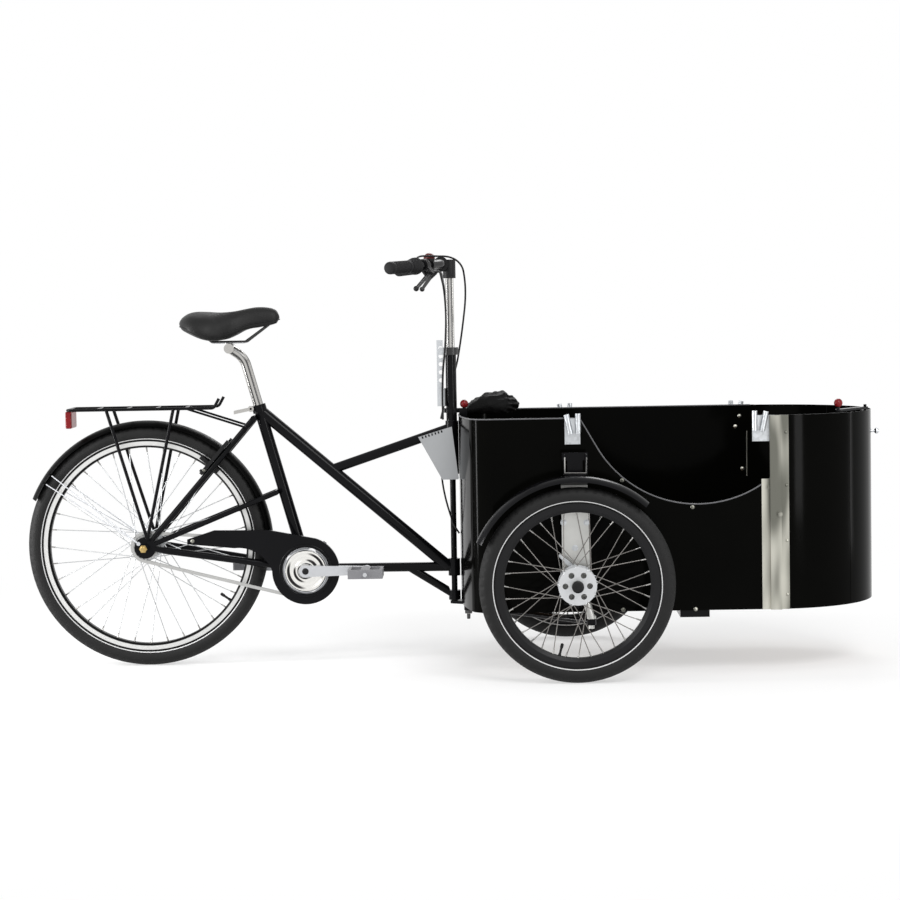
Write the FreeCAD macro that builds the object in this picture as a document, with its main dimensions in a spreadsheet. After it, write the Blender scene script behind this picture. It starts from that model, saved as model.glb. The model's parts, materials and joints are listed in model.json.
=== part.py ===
import FreeCAD, Part
import math
import os
from types import SimpleNamespace

Vector = FreeCAD.Vector
Placement = FreeCAD.Placement
Rotation = FreeCAD.Rotation

# Driving dimensions of the tricycle in millimetres. Distances along the machine are
# counted from the front axle (ahead or behind), heights from the ground.
SIZES = {
    # wheels
    "wheelbase": 1147.0,
    "wheel_track": 820.0,
    "rear_tyre_diameter": 653.0,
    "front_tyre_diameter": 500.0,
    "rear_rim_diameter": 572.0,
    "front_rim_diameter": 418.0,
    "rear_rim_depth": 19.0,
    "front_rim_depth": 23.0,
    "rim_width": 30.0,
    "rim_wall": 2.0,
    "rim_well_depth": 12.0,
    "tyre_wall": 4.0,
    "bead_depth": 8.0,
    "fit_gap": 0.1,
    "spoke_diameter": 2.4,
    "rear_flange_radius": 38.0,
    "rear_flange_spread": 56.0,
    "flange_thickness": 3.5,
    "rear_barrel_radius": 30.0,
    "rear_hub_width": 122.0,
    "front_flange_radius": 49.0,
    "front_flange_spread": 46.0,
    "front_barrel_radius": 45.0,
    "hub_window_diameter": 15.0,
    "hub_window_ring": 31.0,
    "front_cap_radius": 15.0,
    "front_cap_length": 12.0,
    "axle_diameter": 12.0,
    "running_gap": 0.05,
    # rear frame and drive
    "bracket_ahead_of_rear_axle": 430.0,
    "bracket_height": 257.0,
    "bracket_shell_diameter": 42.0,
    "bracket_shell_width": 68.0,
    "spindle_diameter": 17.0,
    "seat_tube_angle": 74.5,
    "seat_tube_length": 463.0,
    "seat_tube_diameter": 31.0,
    "seat_post_diameter": 27.0,
    "down_tube_diameter": 32.0,
    "down_tube_drop": 14.0,
    "upper_tube_diameter": 26.0,
    "upper_tube_height": 634.0,
    "lower_tube_diameter": 25.0,
    "lower_tube_height": 256.0,
    "brace_diameter": 22.0,
    "brace_ahead_of_bracket": 275.0,
    "tube_wall": 2.0,
    "seat_stay_diameter": 16.0,
    "seat_stay_drop": 31.0,
    "mid_stay_diameter": 14.0,
    "mid_stay_height": 472.0,
    "chain_stay_diameter": 19.0,
    "chain_stay_offset": 24.0,
    "stay_half_spread": 30.0,
    "dropout_half_spread": 65.0,
    "dropout_thickness": 6.0,
    "dropout_radius": 29.0,
    "dropout_socket": 22.0,
    "dropout_neck": 30.0,
    "fender_bridge_diameter": 10.0,
    "crank_length": 165.0,
    "crank_half_width": 76.0,
    "crank_thickness": 13.0,
    "crank_boss_diameter": 34.0,
    "crank_eye_diameter": 26.0,
    "pedal_axle_diameter": 11.0,
    "pedal_length": 96.0,
    "pedal_width": 92.0,
    "pedal_thickness": 24.0,
    "pedal_offset": 8.0,
    "chain_pitch": 12.7,
    "chainring_teeth": 38.0,
    "sprocket_teeth": 19.0,
    "chain_line": 45.0,
    "chain_inner_width": 4.0,
    "chain_plate": 1.4,
    "chain_plate_height": 8.4,
    "roller_diameter": 7.6,
    "tooth_thickness": 2.4,
    "crank_disc_diameter": 116.0,
    "crank_disc_thickness": 4.0,
    "guard_disc_radius": 91.0,
    "guard_thickness": 9.0,
    "guard_gap": 5.0,
    # saddle
    "post_insertion": 170.0,
    "post_reach": 133.0,
    "post_bend_radius": 60.0,
    "post_setback": 38.0,
    "post_setback_rise": 26.0,
    "saddle_length": 276.0,
    "saddle_width": 176.0,
    "saddle_behind_clamp": 137.0,
    "saddle_rise": 100.7,
    "saddle_depth": 78.0,
    "saddle_rail_diameter": 7.0,
    "saddle_rail_spread": 44.0,
    "seat_lever_side": 15.0,
    "seat_lever_length": 46.0,
    # rear carrier and fender
    "fender_clearance": 13.5,
    "fender_thickness": 1.6,
    "rear_fender_width": 54.0,
    "fender_skirt": 15.0,
    "rear_fender_front_angle": 6.0,
    "rear_fender_rear_angle": 157.0,
    "fender_stay_angle": 145.0,
    "fender_stay_spread": 2.5,
    "fender_stay_diameter": 3.5,
    "wire_diameter": 5.0,
    "carrier_height": 703.0,
    "carrier_length": 395.0,
    "carrier_behind_axle": 203.0,
    "carrier_width": 118.0,
    "carrier_rod_diameter": 8.0,
    "carrier_leg_diameter": 9.0,
    "carrier_leg_spread": 181.0,
    "reflector_width": 82.0,
    "reflector_height": 46.0,
    "reflector_depth": 17.0,
    # cargo box
    "nose_reach": 808.0,
    "box_half_width": 290.0,
    "box_rear": 300.0,
    "box_rear_bow": 1000.0,
    "box_corner_radius": 60.0,
    "rim_height": 668.0,
    "skirt_height": 165.0,
    "sheet_thickness": 2.0,
    "floor_height": 190.0,
    "floor_thickness": 6.0,
    "dip_radius": 300.0,
    "dip_centre_ahead": 320.0,
    "dip_height": 441.0,
    "dip_slope": 60.0,
    "door_half_angle": 45.0,
    "door_gap": 1.5,
    "hinge_barrel_diameter": 10.0,
    "hinge_pin_diameter": 5.0,
    "hinge_leaf_width": 24.0,
    "hinge_length": 90.0,
    "post_web_width": 28.5,
    "post_flange_width": 21.0,
    "post_depth": 12.0,
    "beam_width": 60.0,
    "beam_height": 22.0,
    "cross_member_ahead": 308.0,
    "cross_member_width": 76.0,
    "cross_member_drop": 18.0,
    "socket_width": 40.0,
    "socket_height": 67.0,
    "socket_plate": 3.0,
    "socket_tube_diameter": 14.0,
    "socket_bore_diameter": 10.2,
    "socket_tube_rise": 12.0,
    "rear_socket_behind": 3.0,
    "front_socket_ahead": 480.0,
    "socket_tilt": 12.0,
    "pull_pin_reach": 25.0,
    "pull_pin_diameter": 8.0,
    "pull_pin_height": 606.0,
    "pull_pin_travel": 12.0,
    "knob_diameter": 22.0,
    "latch_thickness": 6.0,
    "latch_angle": -22.0,
    "latch_end_angle": -52.0,
    "guide_length": 60.0,
    "latch_width": 16.0,
    "bundle_length": 165.0,
    "bundle_height": 52.0,
    "bundle_width": 190.0,
    # steering
    "column_behind": 318.0,
    "column_diameter": 29.0,
    "head_journal_diameter": 25.4,
    "shaft_diameter": 16.0,
    "column_top": 850.0,
    "head_tube_diameter": 35.0,
    "head_tube_bottom": 508.0,
    "head_tube_top": 652.0,
    "head_bush_diameter": 31.0,
    "bush_length": 18.0,
    "lower_head_diameter": 32.0,
    "lower_bush_diameter": 22.0,
    "lower_head_bottom": 232.0,
    "lower_head_top": 278.0,
    "brace_eye_bottom": 166.0,
    "brace_eye_top": 192.0,
    "arm_forward": 37.0,
    "arm_sideways": 20.0,
    "arm_thickness": 8.0,
    "arm_width": 24.0,
    "rod_height": 147.5,
    "rod_diameter": 14.0,
    "rod_eye_diameter": 24.0,
    "rod_eye_length": 16.0,
    "stud_diameter": 8.0,
    "stud_nut_diameter": 15.0,
    "stud_nut_length": 9.0,
    "stem_diameter": 22.2,
    "stem_bottom": 690.0,
    "stem_head_drop": 38.0,
    "stem_block_diameter": 34.0,
    "stem_head_height": 1074.0,
    "stem_setback": 22.0,
    "stem_clamp_diameter": 40.0,
    "stem_clamp_width": 44.0,
    "bar_diameter": 24.0,
    "bar_half_width": 320.0,
    "bar_straight": 120.0,
    "bar_sweep": 112.0,
    "bar_rise": 12.0,
    "grip_length": 100.0,
    "grip_diameter": 33.0,
    "shifter_diameter": 46.0,
    "shifter_length": 40.0,
    "lever_length": 118.0,
    "lever_drop": 44.0,
    "lever_thickness": 9.0,
    "lever_clamp_width": 20.0,
    "lever_clamp_diameter": 34.0,
    "bell_diameter": 30.0,
    "collar_diameter": 42.0,
    "collar_height": 20.0,
    "guard_half_width": 21.5,
    "guard_sheet": 1.5,
    "guard_back": 91.0,
    "guard_bottom": 494.0,
    "guard_top": 637.0,
    "guard_tooth_pitch": 9.0,
    "guard_tooth_width": 5.0,
    "guard_tooth_depth": 9.0,
    # front suspension uprights
    "kingpin_inset": 80.0,
    "kingpin_diameter": 14.0,
    "kingpin_bottom": 180.0,
    "kingpin_top": 532.0,
    "lower_lug_height": 196.0,
    "upper_lug_height": 500.0,
    "lug_thickness": 12.0,
    "lug_width": 34.0,
    "bracket_plate": 4.0,
    "upright_diameter": 28.0,
    "upright_gap": 0.3,
    "knuckle_width": 72.0,
    "knuckle_top": 522.0,
    "knuckle_bottom": 208.0,
    "knuckle_sheet": 5.0,
    "knuckle_flange": 16.0,
    "brake_plate_radius": 47.0,
    "brake_plate_thickness": 6.0,
    "front_fender_clearance": 29.0,
    "front_fender_width": 64.0,
    "front_fender_front_angle": 48.5,
    "front_fender_rear_angle": 156.0,
    "fender_wire_width": 56.0,
    "fender_wire_inset": 12.0,
    "strip_thickness": 4.0,
    "fender_wire_rise": 49.0,
    "strut_diameter": 20.0,
    # rear rim brake
    "brake_boss_radius": 254.0,
    "brake_arm_length": 104.0,
    "brake_arm_width": 17.0,
    "brake_arm_thickness": 9.0,
    "brake_boss_diameter": 8.0,
    "brake_boss_length": 22.0,
    "pad_length": 62.0,
    "pad_height": 10.0,
    "pad_gap": 2.5,
    "brake_pin_height": 34.0,
    # cables
    "cable_diameter": 5.0,
    "cut_overrun": 2.0,
}

doc = FreeCAD.newDocument("cargo_tricycle")
sheet = doc.addObject("Spreadsheet::Sheet", "Sizes")
for row, (alias, value) in enumerate(SIZES.items(), start=1):
    sheet.set(f"A{row}", alias)
    sheet.set(f"B{row}", str(value))
    sheet.setAlias(f"B{row}", alias)
doc.recompute()
V = SimpleNamespace(**{alias: float(sheet.get(alias)) for alias in SIZES})

UP = Vector(0, 0, 1)
AHEAD = Vector(1, 0, 0)
LEFT = Vector(0, 1, 0)
RIGHT_SIDE = -1
LEFT_SIDE = 1

# The origin is the middle of the overall length, so the front axle stands here.
# Proportions of small pieces, as shares of a driving size
arm_back_share = 0.85
arm_rise_share = 0.8
arm_root_share = 0.45
arm_taper_share = 0.6
arm_tip_share = 0.42
axle_nut_share = 0.9
bell_base_share = 0.55
bell_foot_share = 0.7
block_depth_share = 0.8
block_half_share = 0.42
block_height_share = 2.4
block_top_share = 5.5
bore_lead_share = 1.5
boss_sink_share = 0.3
brake_track_share = 0.6
cable_lead_share = 1.5
cheek_end_share = 0.9
collar_lug_share = 0.7
crest_back_share = 0.3
crest_high_share = 1.22
cross_bar_share = 0.85
drum_gap_share = 1.5
guard_fold_share = 0.3
guard_foot_share = 1.3
guard_lip_share = 0.75
guard_tail_share = 0.74
hinge_high_share = 1.6
hinge_low_share = 0.6
hook_back_share = 0.9
hook_rise_share = 1.6
hoop_bend_share = 1.5
inner_back_share = 0.6
inner_high_share = 0.7
knee_lift_share = 0.6
leg_foot_share = 0.8
leg_shift_share = 0.04
leg_stand_share = 0.6
lever_ball_share = 0.8
lever_barrel_share = 0.75
lever_lug_share = 1.8
lever_root_share = 0.65
lever_tilt_share = 1.1
nut_length_share = 1.6
pivot_reach_share = 0.8
plate_depth_share = 0.72
plate_top_share = 1.0
pull_guide_share = 2.5
rail_close_share = 0.3
rail_nose_share = 0.12
rail_spread_share = 1.3
rail_tail_share = 0.16
ridge_back_share = 0.77
ridge_high_share = 1.24
ring_bore_share = 0.8
seat_lever_depth_share = 0.8
shifter_flare_share = 0.9
shoulder_share = 0.3
stay_back_share = 1.5
stay_drop_share = 7
stay_eye_share = 0.72
stay_hold_share = 0.7
stay_rod_share = 0.75
strip_neck_share = 0.7
tip_high_share = 0.98
tip_low_share = 0.84
tube_sink_share = 0.45
tube_skip_share = 0.42
waist_back_share = 0.39
wall_plate_share = 1.8

REAR_RADIUS = V.rear_tyre_diameter / 2
FRONT_RADIUS = V.front_tyre_diameter / 2
FRONT_AXLE = (V.wheelbase + REAR_RADIUS - V.nose_reach - V.pull_pin_reach) / 2
REAR_AXLE = FRONT_AXLE - V.wheelbase
HALF_TRACK = V.wheel_track / 2
parts = []


# Helpers

def part(label, source):
    """Register one sub-part, given as a document object or as a finished shape."""
    item = source
    if isinstance(source, Part.Shape):
        item = solid(label, source)
    item.Label = label
    parts.append(item)
    return item


def bar(name, diameter, start, end):
    """A round bar between two points, its radius bound to the sheet."""
    item = doc.addObject("Part::Cylinder", name)
    item.setExpression("Radius", f"Sizes.{diameter} / 2")
    item.Height = (end - start).Length
    item.Placement = Placement(start, Rotation(UP, end - start))
    return item


def block(name, low, high):
    """A square block between two corners."""
    item = doc.addObject("Part::Box", name)
    item.Length = high.x - low.x
    item.Width = high.y - low.y
    item.Height = high.z - low.z
    item.Placement = Placement(low, Rotation())
    return item


def cut(name, base, *tools):
    """Take one or more tools away from a base."""
    item = doc.addObject("Part::Cut", name)
    item.Base = base
    item.Tool = tools[0] if len(tools) == 1 else fuse(name + "_tools", *tools)
    return item


def fuse(name, *items):
    """Weld several objects into one solid."""
    item = doc.addObject("Part::MultiFuse", name)
    item.Shapes = list(items)
    return item


def group(name, *items):
    """Several separate solids of one sub-part."""
    item = doc.addObject("Part::Compound", name)
    item.Links = list(items)
    return item


def solid(name, shape):
    """A finished shape as an object of the document."""
    item = doc.addObject("Part::Feature", name)
    item.Shape = shape
    return item


def turned(profile, origin, axis):
    """A solid of revolution: (radius, along) points of a closed outline about an axis."""
    points = [Vector(radius, 0, along) for radius, along in profile]
    face = Part.Face(Part.makePolygon(points + points[:1]))
    return placed(face.revolve(Vector(0, 0, 0), UP, 360), origin, axis)


def placed(shape, origin, axis):
    """Turn a shape made along +Z to an axis and move it to an origin."""
    moved = shape.copy()
    moved.Placement = Placement(origin, Rotation(UP, axis))
    return moved


def rod(start, end, diameter):
    """A plain round rod between two points."""
    return Part.makeCylinder(diameter / 2, (end - start).Length, start, end - start)


def ring(outer, inner, origin, axis, length):
    """A plain bush: a cylinder with a bore."""
    body = Part.makeCylinder(outer / 2, length, origin, axis)
    return body.cut(Part.makeCylinder(inner / 2, length, origin, axis))


def bent_path(points, bend):
    """A wire of straight runs whose corners are tangent arcs of one bend radius."""
    edges = []
    start = points[0]
    for before, corner, after in zip(points, points[1:], points[2:]):
        back = (before - corner).normalize()
        onward = (after - corner).normalize()
        half = back.getAngle(onward) / 2
        first = corner + back * (bend / math.tan(half))
        last = corner + onward * (bend / math.tan(half))
        middle = corner + (back + onward).normalize() * (bend / math.sin(half) - bend)
        edges.append(Part.LineSegment(start, first).toShape())
        edges.append(Part.Arc(first, middle, last).toShape())
        start = last
    edges.append(Part.LineSegment(start, points[-1]).toShape())
    return Part.Wire(edges)


def swept(path, diameter):
    """A round tube along a wire."""
    start = path.Edges[0].valueAt(path.Edges[0].FirstParameter)
    heading = path.Edges[0].tangentAt(path.Edges[0].FirstParameter)
    circle = Part.Wire([Part.makeCircle(diameter / 2, start, heading)])
    return path.makePipeShell([circle], True, False)


def bent_rod(points, bend, diameter):
    """A rod bent round tangent arcs."""
    return swept(bent_path(points, bend), diameter)


def cable(points, diameter):
    """A cable whose every arc is as large as its two runs allow."""
    edges = []
    start = points[0]
    largest_share = 0.45
    for before, corner, after in zip(points, points[1:], points[2:]):
        back = before - corner
        onward = after - corner
        reach = largest_share * min(back.Length, onward.Length)
        half = back.getAngle(onward) / 2
        radius = reach * math.tan(half)
        back.normalize()
        onward.normalize()
        first = corner + back * reach
        last = corner + onward * reach
        middle = corner + (back + onward).normalize() * (radius / math.sin(half) - radius)
        edges.append(Part.LineSegment(start, first).toShape())
        edges.append(Part.Arc(first, middle, last).toShape())
        start = last
    edges.append(Part.LineSegment(start, points[-1]).toShape())
    return swept(Part.Wire(edges), diameter)


def upright_plate(outline, side_start, thickness):
    """A plate standing in the length of the machine: (x, z) points, thick along Y."""
    points = [Vector(x, side_start, z) for x, z in outline]
    return Part.Face(Part.makePolygon(points + points[:1])).extrude(LEFT * thickness)


def link_plate(first, second, width, bottom, thickness):
    """A flat bar with round ends between two points, lying flat."""
    start = Vector(first.x, first.y, bottom)
    end = Vector(second.x, second.y, bottom)
    side = UP.cross(end - start).normalize() * (width / 2)
    corners = [start + side, end + side, end - side, start - side]
    web = Part.Face(Part.makePolygon(corners + corners[:1])).extrude(UP * thickness)
    ends = [Part.makeCylinder(width / 2, thickness, spot, UP) for spot in (start, end)]
    return web.fuse(ends).removeSplitter()


def mirrored(shape):
    """The same piece on the other side of the machine."""
    return shape.mirror(Vector(0, 0, 0), LEFT)


def both_sides(shape):
    """A right-hand piece and its left-hand twin as one group."""
    return Part.makeCompound([shape, mirrored(shape)])


# Wheels: tyre, rim and a hub whose spokes are laced to the rim

def tyre(radius, rim_radius):
    """A hollow casing, round in section, with beads inside the rim."""
    bead = V.rim_width / 2 - V.rim_wall - V.fit_gap
    neck = rim_radius + V.rim_wall / 2
    low = rim_radius - V.bead_depth
    inner = bead - V.tyre_wall
    outer_arc = Part.Arc(Vector(neck, -bead, 0), Vector(radius, 0, 0), Vector(neck, bead, 0))
    inner_arc = Part.Arc(
        Vector(neck, inner, 0), Vector(radius - V.tyre_wall, 0, 0), Vector(neck, -inner, 0))
    corners = [(neck, bead), (low, bead), (low, inner), (neck, inner)]
    edges = [outer_arc.toShape(), inner_arc.toShape()]
    for side in (1, -1):
        for (r_one, y_one), (r_two, y_two) in zip(corners, corners[1:]):
            one = Vector(r_one, side * y_one, 0)
            two = Vector(r_two, side * y_two, 0)
            edges.append(Part.LineSegment(one, two).toShape())
    face = Part.Face(Part.Wire(Part.__sortEdges__(edges)))
    return face.revolve(Vector(0, 0, 0), LEFT, 360)


def rim(rim_radius, depth):
    """A box rim: two flanges, a well and a narrow inner face."""
    half = V.rim_width / 2
    inside = half - V.rim_wall
    well = rim_radius - V.rim_well_depth
    shoulder = well - V.rim_wall
    narrow = inside * 2 / 3
    outline = [
        (half, rim_radius), (inside, rim_radius), (inside, well), (-inside, well),
        (-inside, rim_radius), (-half, rim_radius), (-half, shoulder),
        (-narrow, rim_radius - depth), (narrow, rim_radius - depth), (half, shoulder),
    ]
    points = [Vector(r, y, 0) for y, r in outline]
    face = Part.Face(Part.makePolygon(points + points[:1]))
    return face.revolve(Vector(0, 0, 0), LEFT, 360)


def spokes(count, flange_radius, spread, rim_inner, lacing_angle):
    """Straight spokes from two flanges to the rim, every other one laced forwards."""
    laced = []
    for number in range(count):
        side = 1 if number % 2 else -1
        forward = 1 if (number // 2) % 2 else -1
        at_rim = math.radians(number * 360 / count)
        at_hub = at_rim + forward * math.radians(lacing_angle)
        face = spread / 2 + forward * (V.flange_thickness / 2 + V.spoke_diameter / 4)
        start = Vector(
            flange_radius * math.cos(at_hub), side * face, flange_radius * math.sin(at_hub))
        end = Vector(rim_inner * math.cos(at_rim), 0, rim_inner * math.sin(at_rim))
        laced.append(rod(start, end, V.spoke_diameter))
    return laced


def along_y(profile):
    """A turned piece about the Y axis: (radius, y) points of a closed outline."""
    points = [Vector(radius, y, 0) for radius, y in profile]
    face = Part.Face(Part.makePolygon(points + points[:1]))
    return face.revolve(Vector(0, 0, 0), LEFT, 360)


def spoked(barrel, flange_radius, spread, rim_inner, count, lacing_angle):
    """A hub barrel welded to its spokes."""
    hole_radius = flange_radius - V.flange_thickness
    seat = rim_inner + V.rim_wall / 2
    return barrel.fuse(spokes(count, hole_radius, spread, seat, lacing_angle))


def rear_hub():
    """A geared hub: a wide barrel between two flanges, bored for its axle."""
    bore = V.axle_diameter / 2 + V.running_gap
    flange_out = V.rear_flange_spread / 2 + V.flange_thickness / 2
    flange_in = flange_out - V.flange_thickness
    end = V.rear_hub_width / 2
    neck = V.rear_barrel_radius * 2 / 3
    profile = [
        (bore, -end), (neck, -end), (neck, -flange_out), (V.rear_flange_radius, -flange_out),
        (V.rear_flange_radius, -flange_in), (V.rear_barrel_radius, -flange_in),
        (V.rear_barrel_radius, flange_in), (V.rear_flange_radius, flange_in),
        (V.rear_flange_radius, flange_out), (neck, flange_out), (neck, end), (bore, end),
    ]
    return along_y(profile)


def front_hub():
    """A drum hub, open towards the brake plate, with a cap on the outer side."""
    bore = V.axle_diameter / 2 + V.running_gap
    flange_out = V.front_flange_spread / 2 + V.flange_thickness / 2
    flange_in = flange_out - V.flange_thickness
    wall = V.front_barrel_radius - V.tyre_wall
    profile = [
        (bore, -flange_out), (V.front_flange_radius, -flange_out),
        (V.front_flange_radius, -flange_in), (V.front_barrel_radius, -flange_in),
        (V.front_barrel_radius, flange_in), (V.front_flange_radius, flange_in),
        (V.front_flange_radius, flange_out), (wall, flange_out), (wall, -flange_in),
        (V.front_cap_radius, -flange_in), (V.front_cap_radius, flange_in), (bore, flange_in),
    ]
    windows = []
    for number in range(WINDOW_COUNT):
        turn = math.radians(number * 360 / WINDOW_COUNT)
        spot = Vector(
            V.hub_window_ring * math.cos(turn), -V.front_flange_spread, V.hub_window_ring * math.sin(turn))
        windows.append(Part.makeCylinder(V.hub_window_diameter / 2, V.front_flange_spread, spot, LEFT))
    return along_y(profile).cut(windows)


WINDOW_COUNT = 6
SPOKE_COUNT = 36
REAR_LACING_ANGLE = 58
FRONT_LACING_ANGLE = 40
rear_rim_radius = V.rear_rim_diameter / 2
front_rim_radius = V.front_rim_diameter / 2
rear_centre = Vector(REAR_AXLE, 0, REAR_RADIUS)
rear_tyre_shape = tyre(REAR_RADIUS, rear_rim_radius)
rear_rim_shape = rim(rear_rim_radius, V.rear_rim_depth)
rear_hub_shape = spoked(
    rear_hub(), V.rear_flange_radius, V.rear_flange_spread,
    rear_rim_radius - V.rear_rim_depth, SPOKE_COUNT, REAR_LACING_ANGLE)
for label, shape in (
        ("rear_tyre", rear_tyre_shape), ("rear_rim", rear_rim_shape), ("rear_hub", rear_hub_shape)):
    part(label, shape.translated(rear_centre))

right_wheel_centre = Vector(FRONT_AXLE, -HALF_TRACK, FRONT_RADIUS)
front_shapes = {
    "front_tyre": tyre(FRONT_RADIUS, front_rim_radius),
    "front_rim": rim(front_rim_radius, V.front_rim_depth),
    "front_hub": spoked(
        front_hub(), V.front_flange_radius, V.front_flange_spread,
        front_rim_radius - V.front_rim_depth, SPOKE_COUNT, FRONT_LACING_ANGLE),
}
for label, shape in front_shapes.items():
    right_shape = shape.translated(right_wheel_centre)
    part(label + "_right", right_shape)
    part(label + "_left", mirrored(right_shape))


# Frame: the tubes of the main frame, each coped to the tube that it lands on

BRACKET_X = REAR_AXLE + V.bracket_ahead_of_rear_axle
COLUMN_X = FRONT_AXLE - V.column_behind
seat_angle = math.radians(V.seat_tube_angle)
seat_way = Vector(-math.cos(seat_angle), 0, math.sin(seat_angle))
bracket_centre = Vector(BRACKET_X, 0, V.bracket_height)
seat_top = bracket_centre + seat_way * V.seat_tube_length
down_start = bracket_centre + seat_way * (V.seat_tube_length - V.down_tube_drop)
lower_end = Vector(COLUMN_X, 0, V.lower_tube_height)
upper_end = Vector(COLUMN_X, 0, V.upper_tube_height)
upper_share = 0.38
down_end = lower_end - AHEAD * V.down_tube_diameter / 2
upper_start = down_start + (down_end - down_start) * upper_share


def column_point(height):
    """A point on the steering axis."""
    return Vector(COLUMN_X, 0, height)


collar_lug = seat_top - seat_way * (V.collar_height / 2) - AHEAD * (V.seat_tube_diameter / 2 + V.rim_wall * 3)


def seat_collar():
    """The clamp at the top of the seat tube, with a lug and the lever's bolt behind it."""
    height = V.collar_height
    start = seat_top - seat_way * height
    outer = V.seat_tube_diameter + V.rim_wall * 4
    band = Part.makeCylinder(outer / 2, height, start, seat_way)
    lug_half = AHEAD * V.rim_wall * 3
    lug = rod(collar_lug + lug_half, collar_lug - lug_half, height * collar_lug_share)
    bolt = rod(collar_lug, collar_lug - LEFT * (V.seat_lever_side + V.latch_thickness), V.latch_thickness)
    room = Part.makeCylinder(V.seat_tube_diameter / 2, height * 2, start, seat_way)
    return band.fuse([lug, bolt]).cut(room)


def seat_lever():
    """The quick release lever, bored for the collar's bolt."""
    start = collar_lug - LEFT * V.seat_lever_side
    depth = LEFT * -(V.latch_thickness - V.upright_gap)
    eye = rod(start, start + depth, V.latch_width)
    tip = start + Vector(-V.seat_lever_length, 0, -V.seat_lever_length / 5)
    side = Vector(0, 0, V.latch_thickness * seat_lever_depth_share)
    corners = [start + side, tip + side, tip - side, start - side]
    blade = Part.Face(Part.makePolygon(corners + corners[:1])).extrude(depth)
    bore = rod(start, start + depth, V.latch_thickness + V.running_gap * 2)
    return eye.fuse(blade).cut(bore)


def main_frame():
    """Seat, down, upper, lower and brace tubes with the bracket shell and head tubes."""
    shell_side = LEFT * (V.bracket_shell_width / 2)
    shell_solid = bar(
        "bracket_shell_solid", "bracket_shell_diameter",
        bracket_centre - shell_side, bracket_centre + shell_side)
    spindle_hole = bar(
        "spindle_hole", "lower_head_diameter",
        bracket_centre - shell_side * 2, bracket_centre + shell_side * 2)
    seat_solid = bar("seat_tube_solid", "seat_tube_diameter", bracket_centre, seat_top)
    overrun = seat_way * V.cut_overrun
    bore_bottom = seat_top - seat_way * (V.post_insertion + V.seat_post_diameter * 4)
    seat_bore = bar("seat_tube_bore", "seat_post_diameter", bore_bottom, seat_top + overrun)
    seat_bore.setExpression("Radius", "Sizes.seat_post_diameter / 2 + Sizes.running_gap")
    head_solid = bar(
        "head_tube_solid", "head_tube_diameter",
        column_point(V.head_tube_bottom), column_point(V.head_tube_top))
    head_bore = bar(
        "head_tube_bore", "head_bush_diameter",
        column_point(V.head_tube_bottom - V.cut_overrun),
        column_point(V.head_tube_top + V.cut_overrun))
    lower_head_solid = bar(
        "lower_head_solid", "lower_head_diameter",
        column_point(V.lower_head_bottom), column_point(V.lower_head_top))
    eye_solid = bar(
        "brace_eye_solid", "lower_head_diameter",
        column_point(V.brace_eye_bottom), column_point(V.brace_eye_top))
    eye_room = bar(
        "brace_eye_room", "lower_head_diameter",
        column_point(V.brace_eye_bottom - V.brace_diameter), column_point(V.lower_head_bottom))
    lower_bore = bar(
        "lower_bore", "lower_bush_diameter",
        column_point(V.brace_eye_bottom - V.cut_overrun),
        column_point(V.lower_head_top + V.cut_overrun))
    lower_solid = bar("lower_tube_solid", "lower_tube_diameter", bracket_centre, lower_end)
    down_solid = bar("down_tube_solid", "down_tube_diameter", down_start, down_end)
    upper_solid = bar("upper_tube_solid", "upper_tube_diameter", upper_start, upper_end)
    brace_start = bracket_centre + AHEAD * V.brace_ahead_of_bracket
    eye_middle = column_point((V.brace_eye_bottom + V.brace_eye_top) / 2)
    brace_solid = bar("brace_solid", "brace_diameter", brace_start, eye_middle)
    return group(
        "main_frame",
        cut("bracket_shell", shell_solid, spindle_hole),
        cut("seat_tube", seat_solid, shell_solid, seat_bore),
        cut("down_tube", down_solid, seat_solid, lower_solid, lower_head_solid),
        cut("upper_tube", upper_solid, down_solid, head_solid),
        cut("lower_tube", lower_solid, shell_solid, lower_head_solid),
        cut("brace_tube", brace_solid, lower_solid, eye_room),
        cut("head_tube", head_solid, head_bore),
        cut("lower_head", lower_head_solid, lower_bore),
        cut("brace_eye", eye_solid, lower_bore),
        solid("seat_collar", seat_collar()))


part("main_frame", main_frame())
part("seat_lever", seat_lever())


# Rear stays with their bridges and dropouts

def stay_plate(side):
    """A round dropout plate with a hole for the rear axle."""
    start = side * V.dropout_half_spread
    if side < 0:
        start -= V.dropout_thickness
    centre = Vector(REAR_AXLE, start, REAR_RADIUS)
    disc = Part.makeCylinder(V.dropout_radius, V.dropout_thickness, centre, LEFT)
    hole = Part.makeCylinder(V.axle_diameter / 2, V.dropout_thickness, centre, LEFT)
    return disc.cut(hole)


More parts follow.
